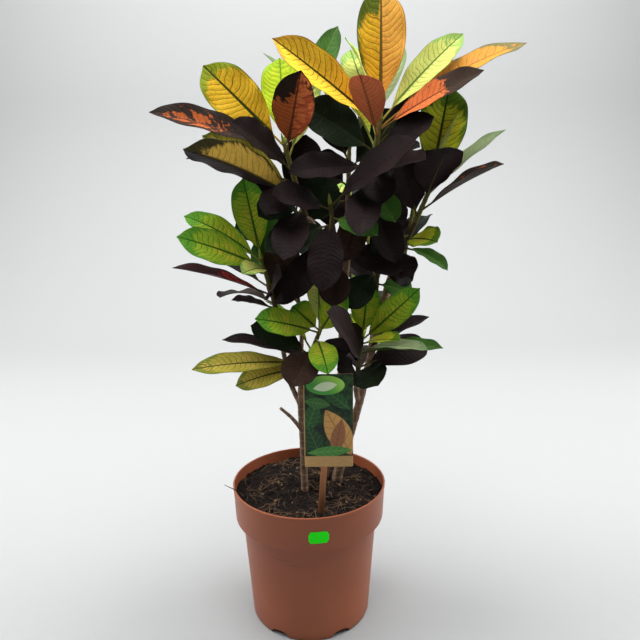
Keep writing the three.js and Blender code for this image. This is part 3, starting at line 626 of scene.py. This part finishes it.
def fill_leaves(name, draw):
    """The rule that fills a shoot all round, with the part's own order of draws."""
    count, azimuth, low, high, *lengths = FILL[name]
    shoot = SHOOTS[name]
    leaves = []
    for i in range(count):
        place = between(FILL_RULE["place"], i / (count - 1))
        turned = math.radians(low + (azimuth - low) % (high - low))
        length = between(lengths, draw())
        rise = math.radians(between(FILL_RULE["rise"], place ** 2) + between(FILL_RULE["steeper"], draw()))
        way = np.array((*polar(length * math.cos(rise), turned), length * math.sin(rise)))
        looks = YOUNG_FILL_LOOKS if place >= shoot[3] else MATURE_FILL_LOOKS
        leaves.append({
            "place": place,
            "tip": root_of(shoot, place) + way,
            "width": length * between(FILL_RULE["width"], draw()),
            **{key: between(FILL_RULE[key], draw()) for key in ("bend", "face", "fold")},
            "look": looks[(i * 7 + count) % len(looks)],
        })
        azimuth += GOLDEN_ANGLE
    return leaves


def leaves_of(name, draw):
    """A shoot's leaves: its own rows, then those of the rule."""
    keys = ("place", "tip", "width", "bend", "face", "fold", "look")
    rows = [{"look": "dark", **dict(zip(keys, (row[0], row[1:4], *row[4:])))} for row in LEAVES.get(name, [])]
    return rows + (fill_leaves(name, draw) if name in FILL else [])


def halves_of(look):
    """The looks of a leaf's two halves, which most leaves share."""
    names = look.split("/")
    return LOOKS[names[0]], LOOKS[names[-1]]


def look_layers(leaf, u, t, half, draw):
    """Colour layers of the two faces of a blade at the given shares across and along it."""
    tone = draw(0.9, 1.1)
    left, right = halves_of(leaf["look"])
    blade, margin, vein, blotch, under = (
        np.where((u > 0)[:, None], linear(b), linear(a)) * tone for a, b in zip(left[:5], right[:5]))
    strength, spread, amount, first, last = (np.where(u > 0, b, a) for a, b in zip(left[5:], right[5:]))
    foot = (1 - smooth(0.0, 0.12, t))[:, None] * 0.5
    blade = blade * (1 - foot) + linear(PETIOLE_COLOUR) * foot
    window = smooth(first - 0.1, first + 0.1, t) * (1 - smooth(last - 0.12, last + 0.12, t))
    one = np.ones(len(u))
    breadth = half / 10 * (FINE.broad_leaf / leaf["width"]) ** 0.8
    place = (np.column_stack([u, t, breadth]), one * draw())
    faces = {
        "lamina": ((blade, one), (under, one)),
        "margin": ((margin, spread), (np.minimum(under * 0.9, margin * 1.2), spread)),
        "veins": ((vein, strength), (np.minimum(under * 0.6, vein * 1.8), strength * 0.7)),
        "blotch": ((blotch, amount * window), (under, one * 0)),
        "leafco": (place, place),
    }
    return {layer: np.vstack([np.column_stack(face) for face in pair]) for layer, pair in faces.items()}


def slab_faces(rows, columns):
    """Faces of a thin slab of two equal grids of points, joined all round."""
    n = rows * columns
    faces = []
    for r in range(rows - 1):
        for c in range(columns - 1):
            a = r * columns + c
            faces.append((a, a + columns, a + columns + 1, a + 1))
            faces.append((a + 1 + n, a + columns + 1 + n, a + columns + n, a + n))
    left = range(0, n, columns)
    last = range(n - columns, n)
    right = range(n - 1, 0, -columns)
    first = range(columns - 1, -1, -1)
    for edge in (left, last, right, first):
        for a, b in zip(edge, edge[1:]):
            faces.append((a, a + n, b + n, b))
    return faces


def add_leaf(piece, shoot, leaf, swing, draw):
    """One fine leaf: a closed blade with a waved margin, and its stalk, which runs on as a rib underneath."""
    held = leaf_frame(shoot, leaf, swing)
    u, t = np.meshgrid(np.linspace(-1, 1, FINE.columns), np.linspace(0, 1, FINE.rows) ** 0.95)
    half = np.maximum(leaf["width"] / 2 * blade_share(t), FINE.least_half)
    centre, normal = (np.repeat(line, FINE.columns, axis=0) for line in blade_midrib(held, leaf, t[:, 0]))
    fold = math.radians(leaf["fold"])
    crease = (np.sqrt(u ** 2 + FINE.crease) - FINE.crease_depth) * half * math.sin(fold)
    waves = draw(*FINE.waves)
    phase = np.where(u > 0, draw(0, 6.28), draw(0, 6.28))
    wave = FINE.wave * leaf["width"] / FINE.broad_leaf * np.sin(FULL_TURN * waves * t + phase)
    wave *= np.abs(u) ** 2.5 * smooth(0.02, 0.3, t) * smooth(0, 0.12, 1 - t)
    lift = (crease + wave).reshape(-1, 1) * normal
    middle = centre + np.outer(u * half * math.cos(fold), held.across) + lift
    top, bottom = (middle + normal * side * FINE.thickness / 2 for side in (1, -1))
    layers = look_layers(leaf, u.ravel(), t.ravel(), half.ravel(), draw)
    piece.add(np.vstack([top, bottom]), slab_faces(FINE.rows, FINE.columns), **layers)

    s = np.concatenate([np.linspace(0, LEAF.petiole, 5), np.linspace(LEAF.petiole, RIB.end, 12)[1:]])
    centre, normal = midrib(held, leaf, s)
    run = np.column_stack([centre - normal * np.interp(s, *RIB.sunk)[:, None], np.interp(s, *RIB.radius)])
    stalk = (linear(PETIOLE_COLOUR) + linear(halves_of(leaf["look"])[0][4])) / 2
    piece.add(*tube(run, sides=7), lamina=(*stalk, 1))


def add_stem(piece, shoot, low, high, colour):
    """The shoot's own stem between two places on it, swollen at leaf scars, and a bud at the shoot's top."""
    foot, apex = root_of(shoot, 0), root_of(shoot, 1)
    lengths = np.linspace(low, high, 22)
    radii = between(shoot[2], lengths) * (1 + 0.06 * np.sin(lengths * 70))
    run = np.column_stack([foot + np.outer(lengths, apex - foot), radii])
    piece.add(*tube(run, sides=14), lamina=rgba(colour))
    if high == 1:
        run = [[*(apex + unit(apex - foot) * d), r] for d, r in BUD]
        piece.add(*tube(run, sides=10), lamina=rgba(BUD_COLOUR))


def corners_of(node):
    """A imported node's corners, in millimetres, as a tree that finds the nearest."""
    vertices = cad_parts[node].data.vertices
    tree = KDTree(len(vertices))
    for i, vertex in enumerate(vertices):
        tree.insert(vertex.co / MM, i)
    tree.balance()
    return tree


def make_shoots(material):
    """Every leafy shoot: one piece for each of the part's leafy nodes."""
    fill_draw = Draw(FILL_SEED)
    fine_draw = Draw(FINE_SEED)
    for name, shoot in SHOOTS.items():
        leaves = leaves_of(name, fill_draw)
        young = shoot[3]
        gap = CLEARANCE / np.linalg.norm(root_of(shoot, 1) - root_of(shoot, 0))
        tiers = {"mature": (gap, young, MATURE_STEM, "dark_leaf")}
        if young < 1:
            tiers["young"] = (young + gap, 1, YOUNG_STEM, "golden_leaf" if name in GOLDEN else "bright_leaf")
        for tier, (low, high, colour, slot) in tiers.items():
            node = f"{name}_{tier}_leaves"
            tree = corners_of(node)
            piece = Piece(f"fine_{node}")
            add_stem(piece, shoot, low, high, colour)
            for leaf in leaves:
                own_tier = (leaf["place"] >= young) == (tier == "young")
                swing = placed_swing(shoot, leaf, tree) if own_tier else None
                if swing is not None:
                    add_leaf(piece, shoot, leaf, swing, fine_draw)
            dress(piece.build(material), node)


# ---- Materials ----

class Wire:
    """One output of a node, which sums and products carry on into further nodes."""

    def __init__(self, nodes, socket):
        self.nodes = nodes
        self.socket = socket

    __add__, __sub__, __mul__, __truediv__, __pow__ = (
        lambda self, other, operation=operation: self.nodes.math(operation, self, other)
        for operation in ("ADD", "SUBTRACT", "MULTIPLY", "DIVIDE", "POWER"))

    def __rsub__(self, other):
        return self.nodes.math("SUBTRACT", other, self)

    def __abs__(self):
        return self.nodes.math("ABSOLUTE", self)


class Nodes:
    """Makes and links the nodes of one material."""

    def __init__(self, name):
        self.material = bpy.data.materials.new(name)
        self.material.use_nodes = True
        self.tree = self.material.node_tree
        self.shader = self.tree.nodes["Principled BSDF"]

    def make(self, kind, inputs=None, output=0, **settings):
        node = self.tree.nodes.new(kind)
        for key, value in settings.items():
            setattr(node, key, value)
        for key, value in (inputs or {}).items():
            self.feed(node.inputs[key], value)
        return Wire(self, node.outputs[output])

    def feed(self, socket, value):
        if isinstance(value, Wire):
            self.tree.links.new(value.socket, socket)
        else:
            socket.default_value = value

    def math(self, operation, a, b=0.0):
        return self.make("ShaderNodeMath", {0: a, 1: b}, operation=operation)

    def step(self, x, low, high):
        """0 below low and 1 above high, smooth between."""
        inputs = {"Value": x, "From Min": low, "From Max": high}
        return self.make("ShaderNodeMapRange", inputs, interpolation_type="SMOOTHSTEP")

    def fall(self, x, low, high):
        return 1.0 - self.step(x, low, high)

    def mix(self, share, a, b):
        """From colour a to colour b, each a wire or a 0-255 screen colour."""
        a, b = (end if isinstance(end, Wire) else rgba(end) for end in (a, b))
        return self.make("ShaderNodeMix", {0: share, 6: a, 7: b}, 2, data_type="RGBA")

    def noise(self, vector, scale, detail=2.0, rough=0.5):
        inputs = {"Vector": vector, "Scale": scale, "Detail": detail, "Roughness": rough}
        return self.make("ShaderNodeTexNoise", inputs)

    def join(self, x, y, z):
        return self.make("ShaderNodeCombineXYZ", {0: x, 1: y, 2: z})

    def split(self, vector):
        return [self.make("ShaderNodeSeparateXYZ", {0: vector}, i) for i in range(3)]

    def stretch(self, vector, upward):
        return self.make("ShaderNodeMapping", {"Vector": vector, "Scale": (1.0, 1.0, upward)})

    def place(self):
        return self.make("ShaderNodeTexCoord", output="Object")

    def bump(self, height, strength, distance):
        inputs = {"Strength": strength, "Distance": distance, "Height": height}
        self.feed(self.shader.inputs["Normal"], self.make("ShaderNodeBump", inputs))

    def look(self, colour, roughness, specular=0.5):
        self.feed(self.shader.inputs["Base Color"], colour)
        self.feed(self.shader.inputs["Roughness"], roughness)
        self.shader.inputs["Specular IOR Level"].default_value = specular
        return self.material


def leaf_material():
    """Blade with midrib, looping side veins, net, margin and blotches, from the looks at its points."""
    n = Nodes("leaf")
    colour_of, amount_of = ({layer: n.make("ShaderNodeAttribute", output=output, attribute_name=layer)
                             for layer in LOOK_LAYERS} for output in ("Color", "Alpha"))
    u, t, half = n.split(colour_of["leafco"])
    own = amount_of["leafco"]
    seed = own * 40.0
    side = abs(u)
    flat = n.join(u * 1.5, t * 5.0, seed)

    # Side veins run where this count passes a half. It lags towards the margin, so they bow to the tip.
    run = t * (own * VEINS.more + VEINS.pairs) - side * VEINS.lag - side ** 4.0 * VEINS.hook
    run = run + n.noise(flat, 0.8, 1.0) * VEINS.drift + n.math("GREATER_THAN", u, 0.0) * VEINS.stagger
    near = abs(n.math("FRACT", run) - 0.5)
    thin = side * -0.03 + 0.085
    inside = n.fall(side, 0.84, 0.95)
    side_vein = n.fall(near, thin * 0.4, thin) * inside
    loop = n.fall(abs(side - near * near * 0.26 - 0.84), 0.008, 0.022)
    cells = n.make("ShaderNodeTexVoronoi", {"Vector": n.join(run, side * 3.4, seed), "Scale": 1.7},
                   feature="DISTANCE_TO_EDGE")
    net = n.fall(cells, 0.01, 0.05) * inside
    flare = n.fall(near, 0.02, 0.26) * inside * n.step(n.noise(flat, 3.0, 3.0), 0.5, 0.75)
    rib_width = t * -0.22 + 0.34
    rib = n.fall(side * half, rib_width * 0.45, rib_width)
    drawn = rib
    edge = n.step(side, 0.94, 0.99)
    for line, strength in ((side_vein, 0.85), (loop, 0.4), (edge, 0.6), (net, 0.36), (flare, 0.45)):
        drawn = n.math("MAXIMUM", drawn, line * strength)
    drawn = drawn * amount_of["veins"]

    # The margin's colour comes in from the edge and down from the tip, unevenly along the side veins.
    uneven = n.noise(n.join(run * 0.7, side * 1.2, seed), 1.4, 4.0, 0.65)
    front = side ** 4.0 * 0.4 + uneven * 0.9 + n.step(t, 0.6, 1.0) * 0.62 + amount_of["margin"]

    # Blotches lie along the side veins, thickest by the midrib.
    amount = amount_of["blotch"]
    spread = n.noise(n.join(run * 0.6, side * 1.5, seed + 9.0), 1.5, 4.0, 0.65)
    level = (spread - 0.5) * 2.2 + amount - side * side * 0.42
    blotched = n.step(level, 0.32, 0.46) * n.step(amount, 0.02, 0.1)

    colour = n.mix(n.step(uneven, 0.42, 0.72) * 0.24, colour_of["lamina"], colour_of["margin"])
    colour = n.mix(n.step(front, 1.02, 1.22), colour, colour_of["margin"])
    colour = n.mix(blotched, colour, colour_of["blotch"])
    colour = n.mix(drawn, colour, colour_of["veins"])
    speckle = n.noise(n.place(), 160.0, 3.0)
    colour = n.mix(speckle * 0.16, colour, (39, 39, 25))
    n.bump(rib * -0.8 + n.step(near, 0.0, 0.5) * inside * 0.6, 0.34, 0.001)
    return n.look(colour, speckle * 0.16 + 0.42, 0.035)


def bark_material():
    n = Nodes("bark")
    place = n.place()
    grain = n.noise(n.stretch(place, 0.28), 260.0, 5.0, 0.6)
    inputs = {"Vector": place, "Scale": 26.0, "Distortion": 6.0, "Detail": 2.0, "Detail Scale": 2.0}
    scar = n.step(n.make("ShaderNodeTexWave", inputs, 1, bands_direction="Z"), 0.86, 0.98)
    share = grain * 0.7 + n.noise(place, 38.0, 3.0) * 0.5
    colour = n.mix(n.step(share, 0.35, 0.85), (72, 53, 39), (134, 106, 80))
    n.bump(grain + scar * 0.6, 0.6, 0.0012)
    return n.look(n.mix(scar * 0.55, colour, (142, 122, 98)), 0.78)


def pot_material():
    """Moulded plastic with soft clouds, dirt at the foot and the rim, and scuffs under the collar with
    painted shade in their dent lines.
    """
    n = Nodes("pot_plastic")
    place = n.place()
    height = n.split(place)[2]
    broad = n.noise(place, 9.0, 3.0)
    colour = n.mix(n.step(broad, 0.35, 0.7), (132, 71, 45), (141, 78, 49))
    dirt = n.step(n.noise(place, 62.0, 5.0, 0.65), 0.63, 0.72)
    ends = n.math("MAXIMUM", n.fall(height, 0.0, 0.02), n.step(height, 0.186, 0.196))
    colour = n.mix(dirt * (ends * 0.3 + 0.06), colour, (70, 50, 40))
    # Scuffs under the collar, darkened in streaks as painted shade of their dent lines.
    scuffs_and_dent_shade = n.step(height, 0.112, 0.122) * n.fall(height, 0.138, 0.146)
    scuffs_and_dent_shade = scuffs_and_dent_shade * n.step(n.noise(n.stretch(place, 11.0), 14.0, 3.0), 0.6, 0.68)
    colour = n.mix(scuffs_and_dent_shade * 0.35, colour, (96, 56, 40))
    n.bump(n.noise(place, 900.0, 2.0), 0.12, 0.0004)
    return n.look(colour, broad * 0.12 + 0.38, 0.3)


def soil_material():
    n = Nodes("peat")
    place = n.place()
    clods = n.noise(place, 130.0, 6.0, 0.7)
    grains = n.make("ShaderNodeTexVoronoi", {"Vector": place, "Scale": 420.0})
    colour = n.mix(n.step(clods, 0.36, 0.72), (9, 6, 5), (28, 18, 13))
    n.bump(clods + grains * 0.4, 1.0, 0.003)
    return n.look(n.mix(n.step(grains, 0.55, 0.8) * 0.25, colour, (54, 40, 31)), 0.95, 0.15)


def fibre_material():
    n = Nodes("fibre")
    tone = n.noise(n.place(), 45.0, 2.0)
    return n.look(n.mix(n.step(tone, 0.35, 0.65), (30, 20, 14), (122, 92, 64)), 0.9)


def stick_material():
    """Sawn wood, darker where it is damp above the compost."""
    n = Nodes("softwood")
    place = n.place()
    grain = n.noise(n.stretch(place, 0.05), 700.0, 4.0, 0.6)
    damp = n.fall(n.split(place)[2], 0.18, 0.26)
    colour = n.mix(n.step(grain, 0.35, 0.7), (150, 96, 58), (184, 124, 78))
    n.bump(grain, 0.4, 0.0005)
    return n.look(n.mix(damp * 0.6, colour, (84, 54, 34)), 0.75)


def printed_leaf(n, x, z, foot, aim, length, width):
    """Mask and midrib of a leaf motif on the card, which stands on its foot and points along its aim."""
    cos, sin = polar(1, math.radians(aim))
    right, up = x - foot[0], z - foot[1]
    along = (right * cos + up * sin) / length
    across = (up * cos - right * sin) / width
    middle = along - 0.5
    spare = middle * middle * -4.0 + 1.0 - abs(across)
    ribs = n.math("FRACT", along * 7.0 - abs(across) * 1.2)
    line = n.math("LESS_THAN", n.math("MINIMUM", abs(across), ribs * 0.5), 0.06)
    return n.step(spare, 0.0, 0.06), line


def card_material():
    """Generic print: leaf motifs in greens and gold on a dark ground, a pale oval, and a board border."""
    n = Nodes("card_print")
    place = n.place()
    x, _, z = n.split(place)
    half = CARD.width * MM / 2
    x = (x - CARD.x * MM) / half
    z = (z - CARD.bottom * MM) / half
    board = n.mix(n.noise(place, 240.0, 4.0), (176, 140, 88), (198, 160, 108))
    ground = n.noise(n.join(x, z, 3.0), 3.2, 5.0, 0.65)
    colour = n.mix(n.step(ground, 0.35, 0.7), (10, 26, 16), (42, 74, 38))
    for *form, tint, rib in PRINTED_LEAVES:
        mask, line = printed_leaf(n, x, z, *form)
        colour = n.mix(mask, colour, n.mix(line * 0.6, tint, rib))
    oval_x = (x + 0.12) / 0.8
    oval_z = (z - 3.56) / 0.42
    reach = (oval_x * oval_x + oval_z * oval_z) ** 0.5
    pale = n.mix(n.step(x * 0.6 + z, 3.1, 4.1), (70, 150, 60), (150, 200, 84))
    mask, _ = printed_leaf(n, x, z, (-0.62, 3.42), 10, 1.0, 0.2)
    pale = n.mix(mask * 0.75, pale, (226, 236, 206))
    colour = n.mix(n.fall(reach, 0.95, 1.0), colour, pale)
    facing = n.split(n.make("ShaderNodeNewGeometry", output="True Normal"))[1]
    shown = n.step(x, -0.985, -0.955) * n.step(z, 0.47, 0.49) * n.math("LESS_THAN", facing, -0.5)
    return n.look(n.mix(shown, board, colour), shown * -0.3 + 0.7, 0.25)


def sticker_material():
    n = Nodes("neon_paper")
    return n.look(n.mix(n.noise(n.place(), 300.0, 3.0), (16, 214, 12), (34, 234, 22)), 0.6, 0.15)


# ---- Pot, soil, stems, card, stick, sticker ----

def body_radius(z):
    return between((POT.base_radius, POT.shoulder_radius), z / POT.collar_bottom)


def collar_radius(z):
    share = (z - POT.collar_bottom) / (POT.height - POT.collar_bottom)
    return between((POT.collar_radius, POT.rim_radius - POT.lip_step), share)


def cavity_profile(top, gap):
    """Radius and height along the pot's inside, from its floor to a top, drawn in by a gap."""
    ledge = POT.collar_bottom + POT.wall
    wall = POT.wall + gap
    return [
        (body_radius(POT.floor) - wall - POT.corner / 2, POT.floor + gap),
        (body_radius(POT.floor + POT.corner) - wall, POT.floor + POT.corner),
        (body_radius(ledge) - wall, ledge + gap),
        (collar_radius(ledge) - wall, ledge + gap),
        (collar_radius(top) - wall, top),
    ]


def lathe(profile, sides):
    """Points and faces of a closed turning; the profile starts and ends on the axis."""
    rings = profile[1:-1]
    points = [(*polar(r, a), z) for r, z in rings for a in np.linspace(0, FULL_TURN, sides, endpoint=False)]
    faces = ring_faces(len(rings), sides, closed=False)
    start = len(points)
    last = start - sides
    for side in range(sides):
        after = (side + 1) % sides
        faces.append((start, after, side))
        faces.append((start + 1, last + side, last + after))
    return np.array([*points, (0, 0, profile[0][1]), (0, 0, profile[-1][1])]), faces


def drain_cutter(index):
    """A block with an arched top, which cuts one drain slot through the pot's foot."""
    turn = math.radians(DRAIN.first_angle + 360 * index / DRAIN.count)
    out = np.array((*polar(1, turn), 0))
    across = np.array((-out[1], out[0], 0))
    half = DRAIN.width / 2
    arch = [(half * math.cos(a), DRAIN.height * (0.3 + 0.7 * math.sin(a)))
            for a in np.linspace(0, math.pi, 15)]
    outline = [(half, -1), *arch, (-half, -1)]
    far = POT.base_radius + 3
    points = [out * r + across * x + (0, 0, z) for r in (far - DRAIN.depth, far) for x, z in outline]
    cutter = Piece(f"drain_{index}")
    cutter.add(points, ring_faces(2, len(outline)))
    return cutter


def make_pot(material):
    base, shoulder, collar, rim = POT.base_radius, POT.shoulder_radius, POT.collar_radius, POT.rim_radius
    corner, step, top = POT.corner, POT.collar_bottom, POT.height
    lip = top - POT.lip_height
    outside = [
        (0, 0), (base - corner, 0), (base - corner * 0.3, corner * 0.3),
        *[(body_radius(z), z) for z in (corner, DRAIN.height + 1, DRAIN.height + 3, 60)],
        (shoulder, step - 1.2), (shoulder + 0.5, step - 0.3), (shoulder + 1.5, step),
        (collar - 1.2, step), (collar - 0.3, step + 0.3), (collar, step + 1.2),
        (collar_radius(lip - 0.6), lip - 0.6), (collar_radius(lip) + 0.15, lip),
        (rim, lip + 0.8), (rim, top - 0.7), (rim - 0.25, top - 0.2), (rim - 0.8, top),
    ]
    *inside, (mouth, _) = cavity_profile(top, 0)
    inside = [(mouth + 0.5, top), (mouth, top - 0.5), *reversed(inside)]
    piece = Piece("fine_pot")
    piece.add(*lathe([*outside, *inside, (0, POT.floor)], POT.sides))
    pot = piece.build(material, sharp=60)
    cutters = [drain_cutter(i).build(material) for i in range(DRAIN.count)]
    for cutter in cutters:
        cut = pot.modifiers.new("drain", "BOOLEAN")
        cut.operation = "DIFFERENCE"
        cut.object = cutter
        cut.solver = "EXACT"
    carved = bpy.data.meshes.new_from_object(pot.evaluated_get(bpy.context.evaluated_depsgraph_get()))
    carved.set_sharp_from_angle(angle=math.radians(40))
    pot.modifiers.clear()
    pot.data = carved
    for cutter in cutters:
        bpy.data.objects.remove(cutter)
    dress(pot, "pot")


def soil_height(x, y):
    out = math.hypot(x, y) / collar_radius(SOIL.level)
    lumps = math.sin(x * 0.13 + 1.7) * math.cos(y * 0.11 - 0.6) + 0.6 * math.sin(x * 0.07 - y * 0.19)
    height = SOIL.level + SOIL.mound * (1 - out * out) + SOIL.lumps * lumps
    rough = noise.fractal(Vector((x * 0.16, y * 0.16, 3.0)), 1.0, 2.2, 5)
    return height + 2.4 * rough + noise.noise(Vector((x * 0.45, y * 0.45, 8.0)))


def soil_place(draw, reach):
    """A random place on the compost within reach of its middle."""
    radius = reach * math.sqrt(draw())
    return polar(radius, draw(0, FULL_TURN))


def fibre_run(draw, reach):
    """The points and radii of one loose fibre, which ends where it comes to the wall."""
    x, y = soil_place(draw, reach - 6)
    heading = draw(0, FULL_TURN)
    length = draw(*LITTER.length)
    turn = draw(*LITTER.curl)
    thick = draw(*LITTER.thick)
    run = []
    for step in np.linspace(0, 1, LITTER.steps + 1):
        if math.hypot(x, y) > reach - 2:
            break
        rise = draw(0.0, 1.6) + 3.0 * math.sin(step * math.pi) * draw(0, 1)
        run.append((x, y, soil_height(x, y) + rise, thick * (1.1 - 0.6 * step)))
        across, up = polar(length / LITTER.steps, heading)
        x += across
        y += up
        heading += turn / LITTER.steps + draw(*LITTER.kink)
    return run


def chip_run(draw, reach):
    """The points and radii of one chip of bark: thin ends and a thick middle."""
    x, y = soil_place(draw, reach - 4)
    size = draw(*LITTER.chip)
    across, up = polar(size, draw(0, 3.1))
    height = soil_height(x, y)
    return [
        (x - across, y - up, height, size * 0.2),
        (x, y, height + size * 0.3, size * draw(*LITTER.chip_thick)),
        (x + across, y + up, height, size * 0.2),
    ]


def make_soil(material, fibre):
    piece = Piece("fine_soil")
    side = cavity_profile(SOIL.level, CLEARANCE)
    reach = side[-1][0]
    rings = [(reach * (1 - (i + 1) / SOIL.rings), SOIL.level) for i in range(SOIL.rings)]
    points, faces = lathe([(0, POT.floor + CLEARANCE), *side, *rings], sides=200)
    for point in points:
        if abs(point[2] - SOIL.level) < 1e-6:
            point[2] = soil_height(point[0], point[1])
    piece.add(points, faces)
    draw = Draw(LITTER.seed)
    for _ in range(LITTER.fibres):
        run = fibre_run(draw, reach)
        if len(run) > 3:
            piece.add(*tube(run, sides=4), slot=FIBRE_SLOT)
    for _ in range(LITTER.chips):
        run = chip_run(draw, reach)
        piece.add(*tube(run, sides=6), slot=FIBRE_SLOT if draw() > 0.7 else PEAT_SLOT)
    piece.add(*tube(spline(STRAY_FIBRE, steps=5), sides=5), slot=FIBRE_SLOT)
    dress(piece.build(material, fibre, sharp=70), "soil")


def make_trunks(material):
    for name, branches in WOOD.items():
        piece = Piece(f"fine_{name}")
        for branch in branches:
            run = spline(branch, steps=12)
            run[:, 3] *= 1 + 0.035 * np.sin(run[:, 2] * 0.55) + 0.02 * np.sin(run[:, 2] * 1.7 + run[:, 0])
            run[-1, 3] *= 0.97
            piece.add(*tube(run, sides=20))
        dress(piece.build(material), name)


def plate(width, height, radius, thickness, lean=0.0):
    """Points and faces of a thin upright board with round corners, leaned about Y, its foot at zero."""
    outline = []
    for across, up, start in ((1, 0, -90), (1, 1, 0), (-1, 1, 90), (-1, 0, 180)):
        centre = (across * (width / 2 - radius), radius + up * (height - 2 * radius))
        for a in np.radians(np.linspace(start, start + 90, 6)):
            outline.append(np.add(centre, polar(radius, a)))
    middle = np.mean(outline, axis=0)
    bevel, face = 0.15, thickness / 2
    layers = [(-face, bevel), (bevel - face, 0), (face - bevel, 0), (face, bevel)]
    points = [np.insert(p - unit(p - middle) * inset, 1, y) for y, inset in layers for p in outline]
    x, y, z = np.array(points).T
    cos, sin = polar(1, lean)
    return np.column_stack([x * cos + z * sin, y, z * cos - x * sin]), ring_faces(len(layers), len(outline))


def make_board(node, material, board, height, foot, lean=0.0):
    """A thin piece with a board's width, corners and thickness, which stands on its foot."""
    piece = Piece(f"fine_{node}")
    points, faces = plate(board.width, height, board.corner, board.thickness, lean)
    piece.add(points + foot, faces)
    dress(piece.build(material), node)


def make_card(material):
    make_board("care_card", material, CARD, CARD.height, (CARD.x, CARD.y, CARD.bottom))


def make_stick(material):
    rise = np.subtract(STICK.head, STICK.foot)
    y = CARD.y + CARD.thickness / 2 + CLEARANCE + STICK.thickness / 2
    foot = (STICK.foot[0], y, STICK.foot[1])
    make_board("card_stick", material, STICK, math.hypot(*rise), foot, math.atan2(*rise))


def make_sticker(material):
    """A label that lies round the collar; its outline runs in at both ends."""
    piece = Piece("fine_price_sticker")
    columns = 48
    points = []
    for share in np.linspace(0, 1, columns + 1):
        near_end = min(share, 1 - share) * STICKER.width
        half = STICKER.height / 2 - STICKER.cut * max(0.0, 1 - near_end / STICKER.cut_length)
        for up, out in ((1, 1), (-1, 1), (-1, 0), (1, 0)):
            z = STICKER.z + up * half
            radius = collar_radius(z) + (STICKER.thickness + CLEARANCE if out else STICKER.glue)
            angle = math.radians(STICKER.angle) + (share - 0.5) * STICKER.width / radius
            points.append((*polar(radius, angle), z))
    piece.add(points, ring_faces(columns + 1, 4))
    dress(piece.build(material), "price_sticker")


# ---- Camera, light and stage ----

def make_camera():
    camera = add_object("camera", bpy.data.cameras.new("camera"))
    camera.data.lens = CAMERA.lens
    camera.data.sensor_width = CAMERA.sensor
    camera.data.clip_end = 50
    pitch, roll = math.radians(CAMERA.pitch), math.radians(CAMERA.roll)
    aim = Matrix.Rotation(math.pi / 2 - pitch, 4, "X") @ Matrix.Rotation(-roll, 4, "Z")
    camera.matrix_world = Matrix.Translation(Vector(CAMERA.place) * MM) @ aim
    bpy.context.scene.camera = camera


def make_light(name, place, aim, size, power):
    light = add_object(name, bpy.data.lights.new(name, "AREA"))
    light.data.shape = "SQUARE"
    light.data.size = size
    light.data.energy = power
    light.location = place
    light.rotation_mode = "QUATERNION"
    light.rotation_quaternion = (Vector(aim) - Vector(place)).to_track_quat("-Z", "Y")


def make_stage():
    """A pale floor that curves up into a backdrop."""
    bend = STAGE.back - STAGE.curve
    sweep = [(bend + STAGE.curve * math.sin(a), STAGE.curve - STAGE.curve * math.cos(a))
             for a in np.linspace(0.1, math.pi / 2, 16)]
    profile = [(STAGE.front, 0.0), (bend, 0.0), *sweep, (STAGE.back, STAGE.high)]
    mesh = bpy.data.meshes.new("stage")
    points = [(x, y, z) for y, z in profile for x in (-STAGE.wide, STAGE.wide)]
    faces = [(2 * i, 2 * i + 1, 2 * i + 3, 2 * i + 2) for i in range(len(profile) - 1)]
    mesh.from_pydata(points, [], faces)
    mesh.shade_smooth()
    mesh.materials.append(Nodes("stage").look(rgba(STAGE.colour), 0.8))
    add_object("stage", mesh)


def make_world():
    world = bpy.data.worlds.new("world")
    world.use_nodes = True
    background = world.node_tree.nodes["Background"]
    background.inputs[0].default_value = (0.96, 0.98, 1.0, 1.0)
    background.inputs[1].default_value = WORLD_STRENGTH
    bpy.context.scene.world = world


make_camera()
make_pot(pot_material())
make_soil(soil_material(), fibre_material())
make_trunks(bark_material())
make_shoots(leaf_material())
make_stick(stick_material())
make_card(card_material())
make_sticker(sticker_material())
make_stage()
make_world()
for name, light in LIGHTS.items():
    make_light(name, *light)
bpy.context.scene.view_settings.view_transform = "Standard"
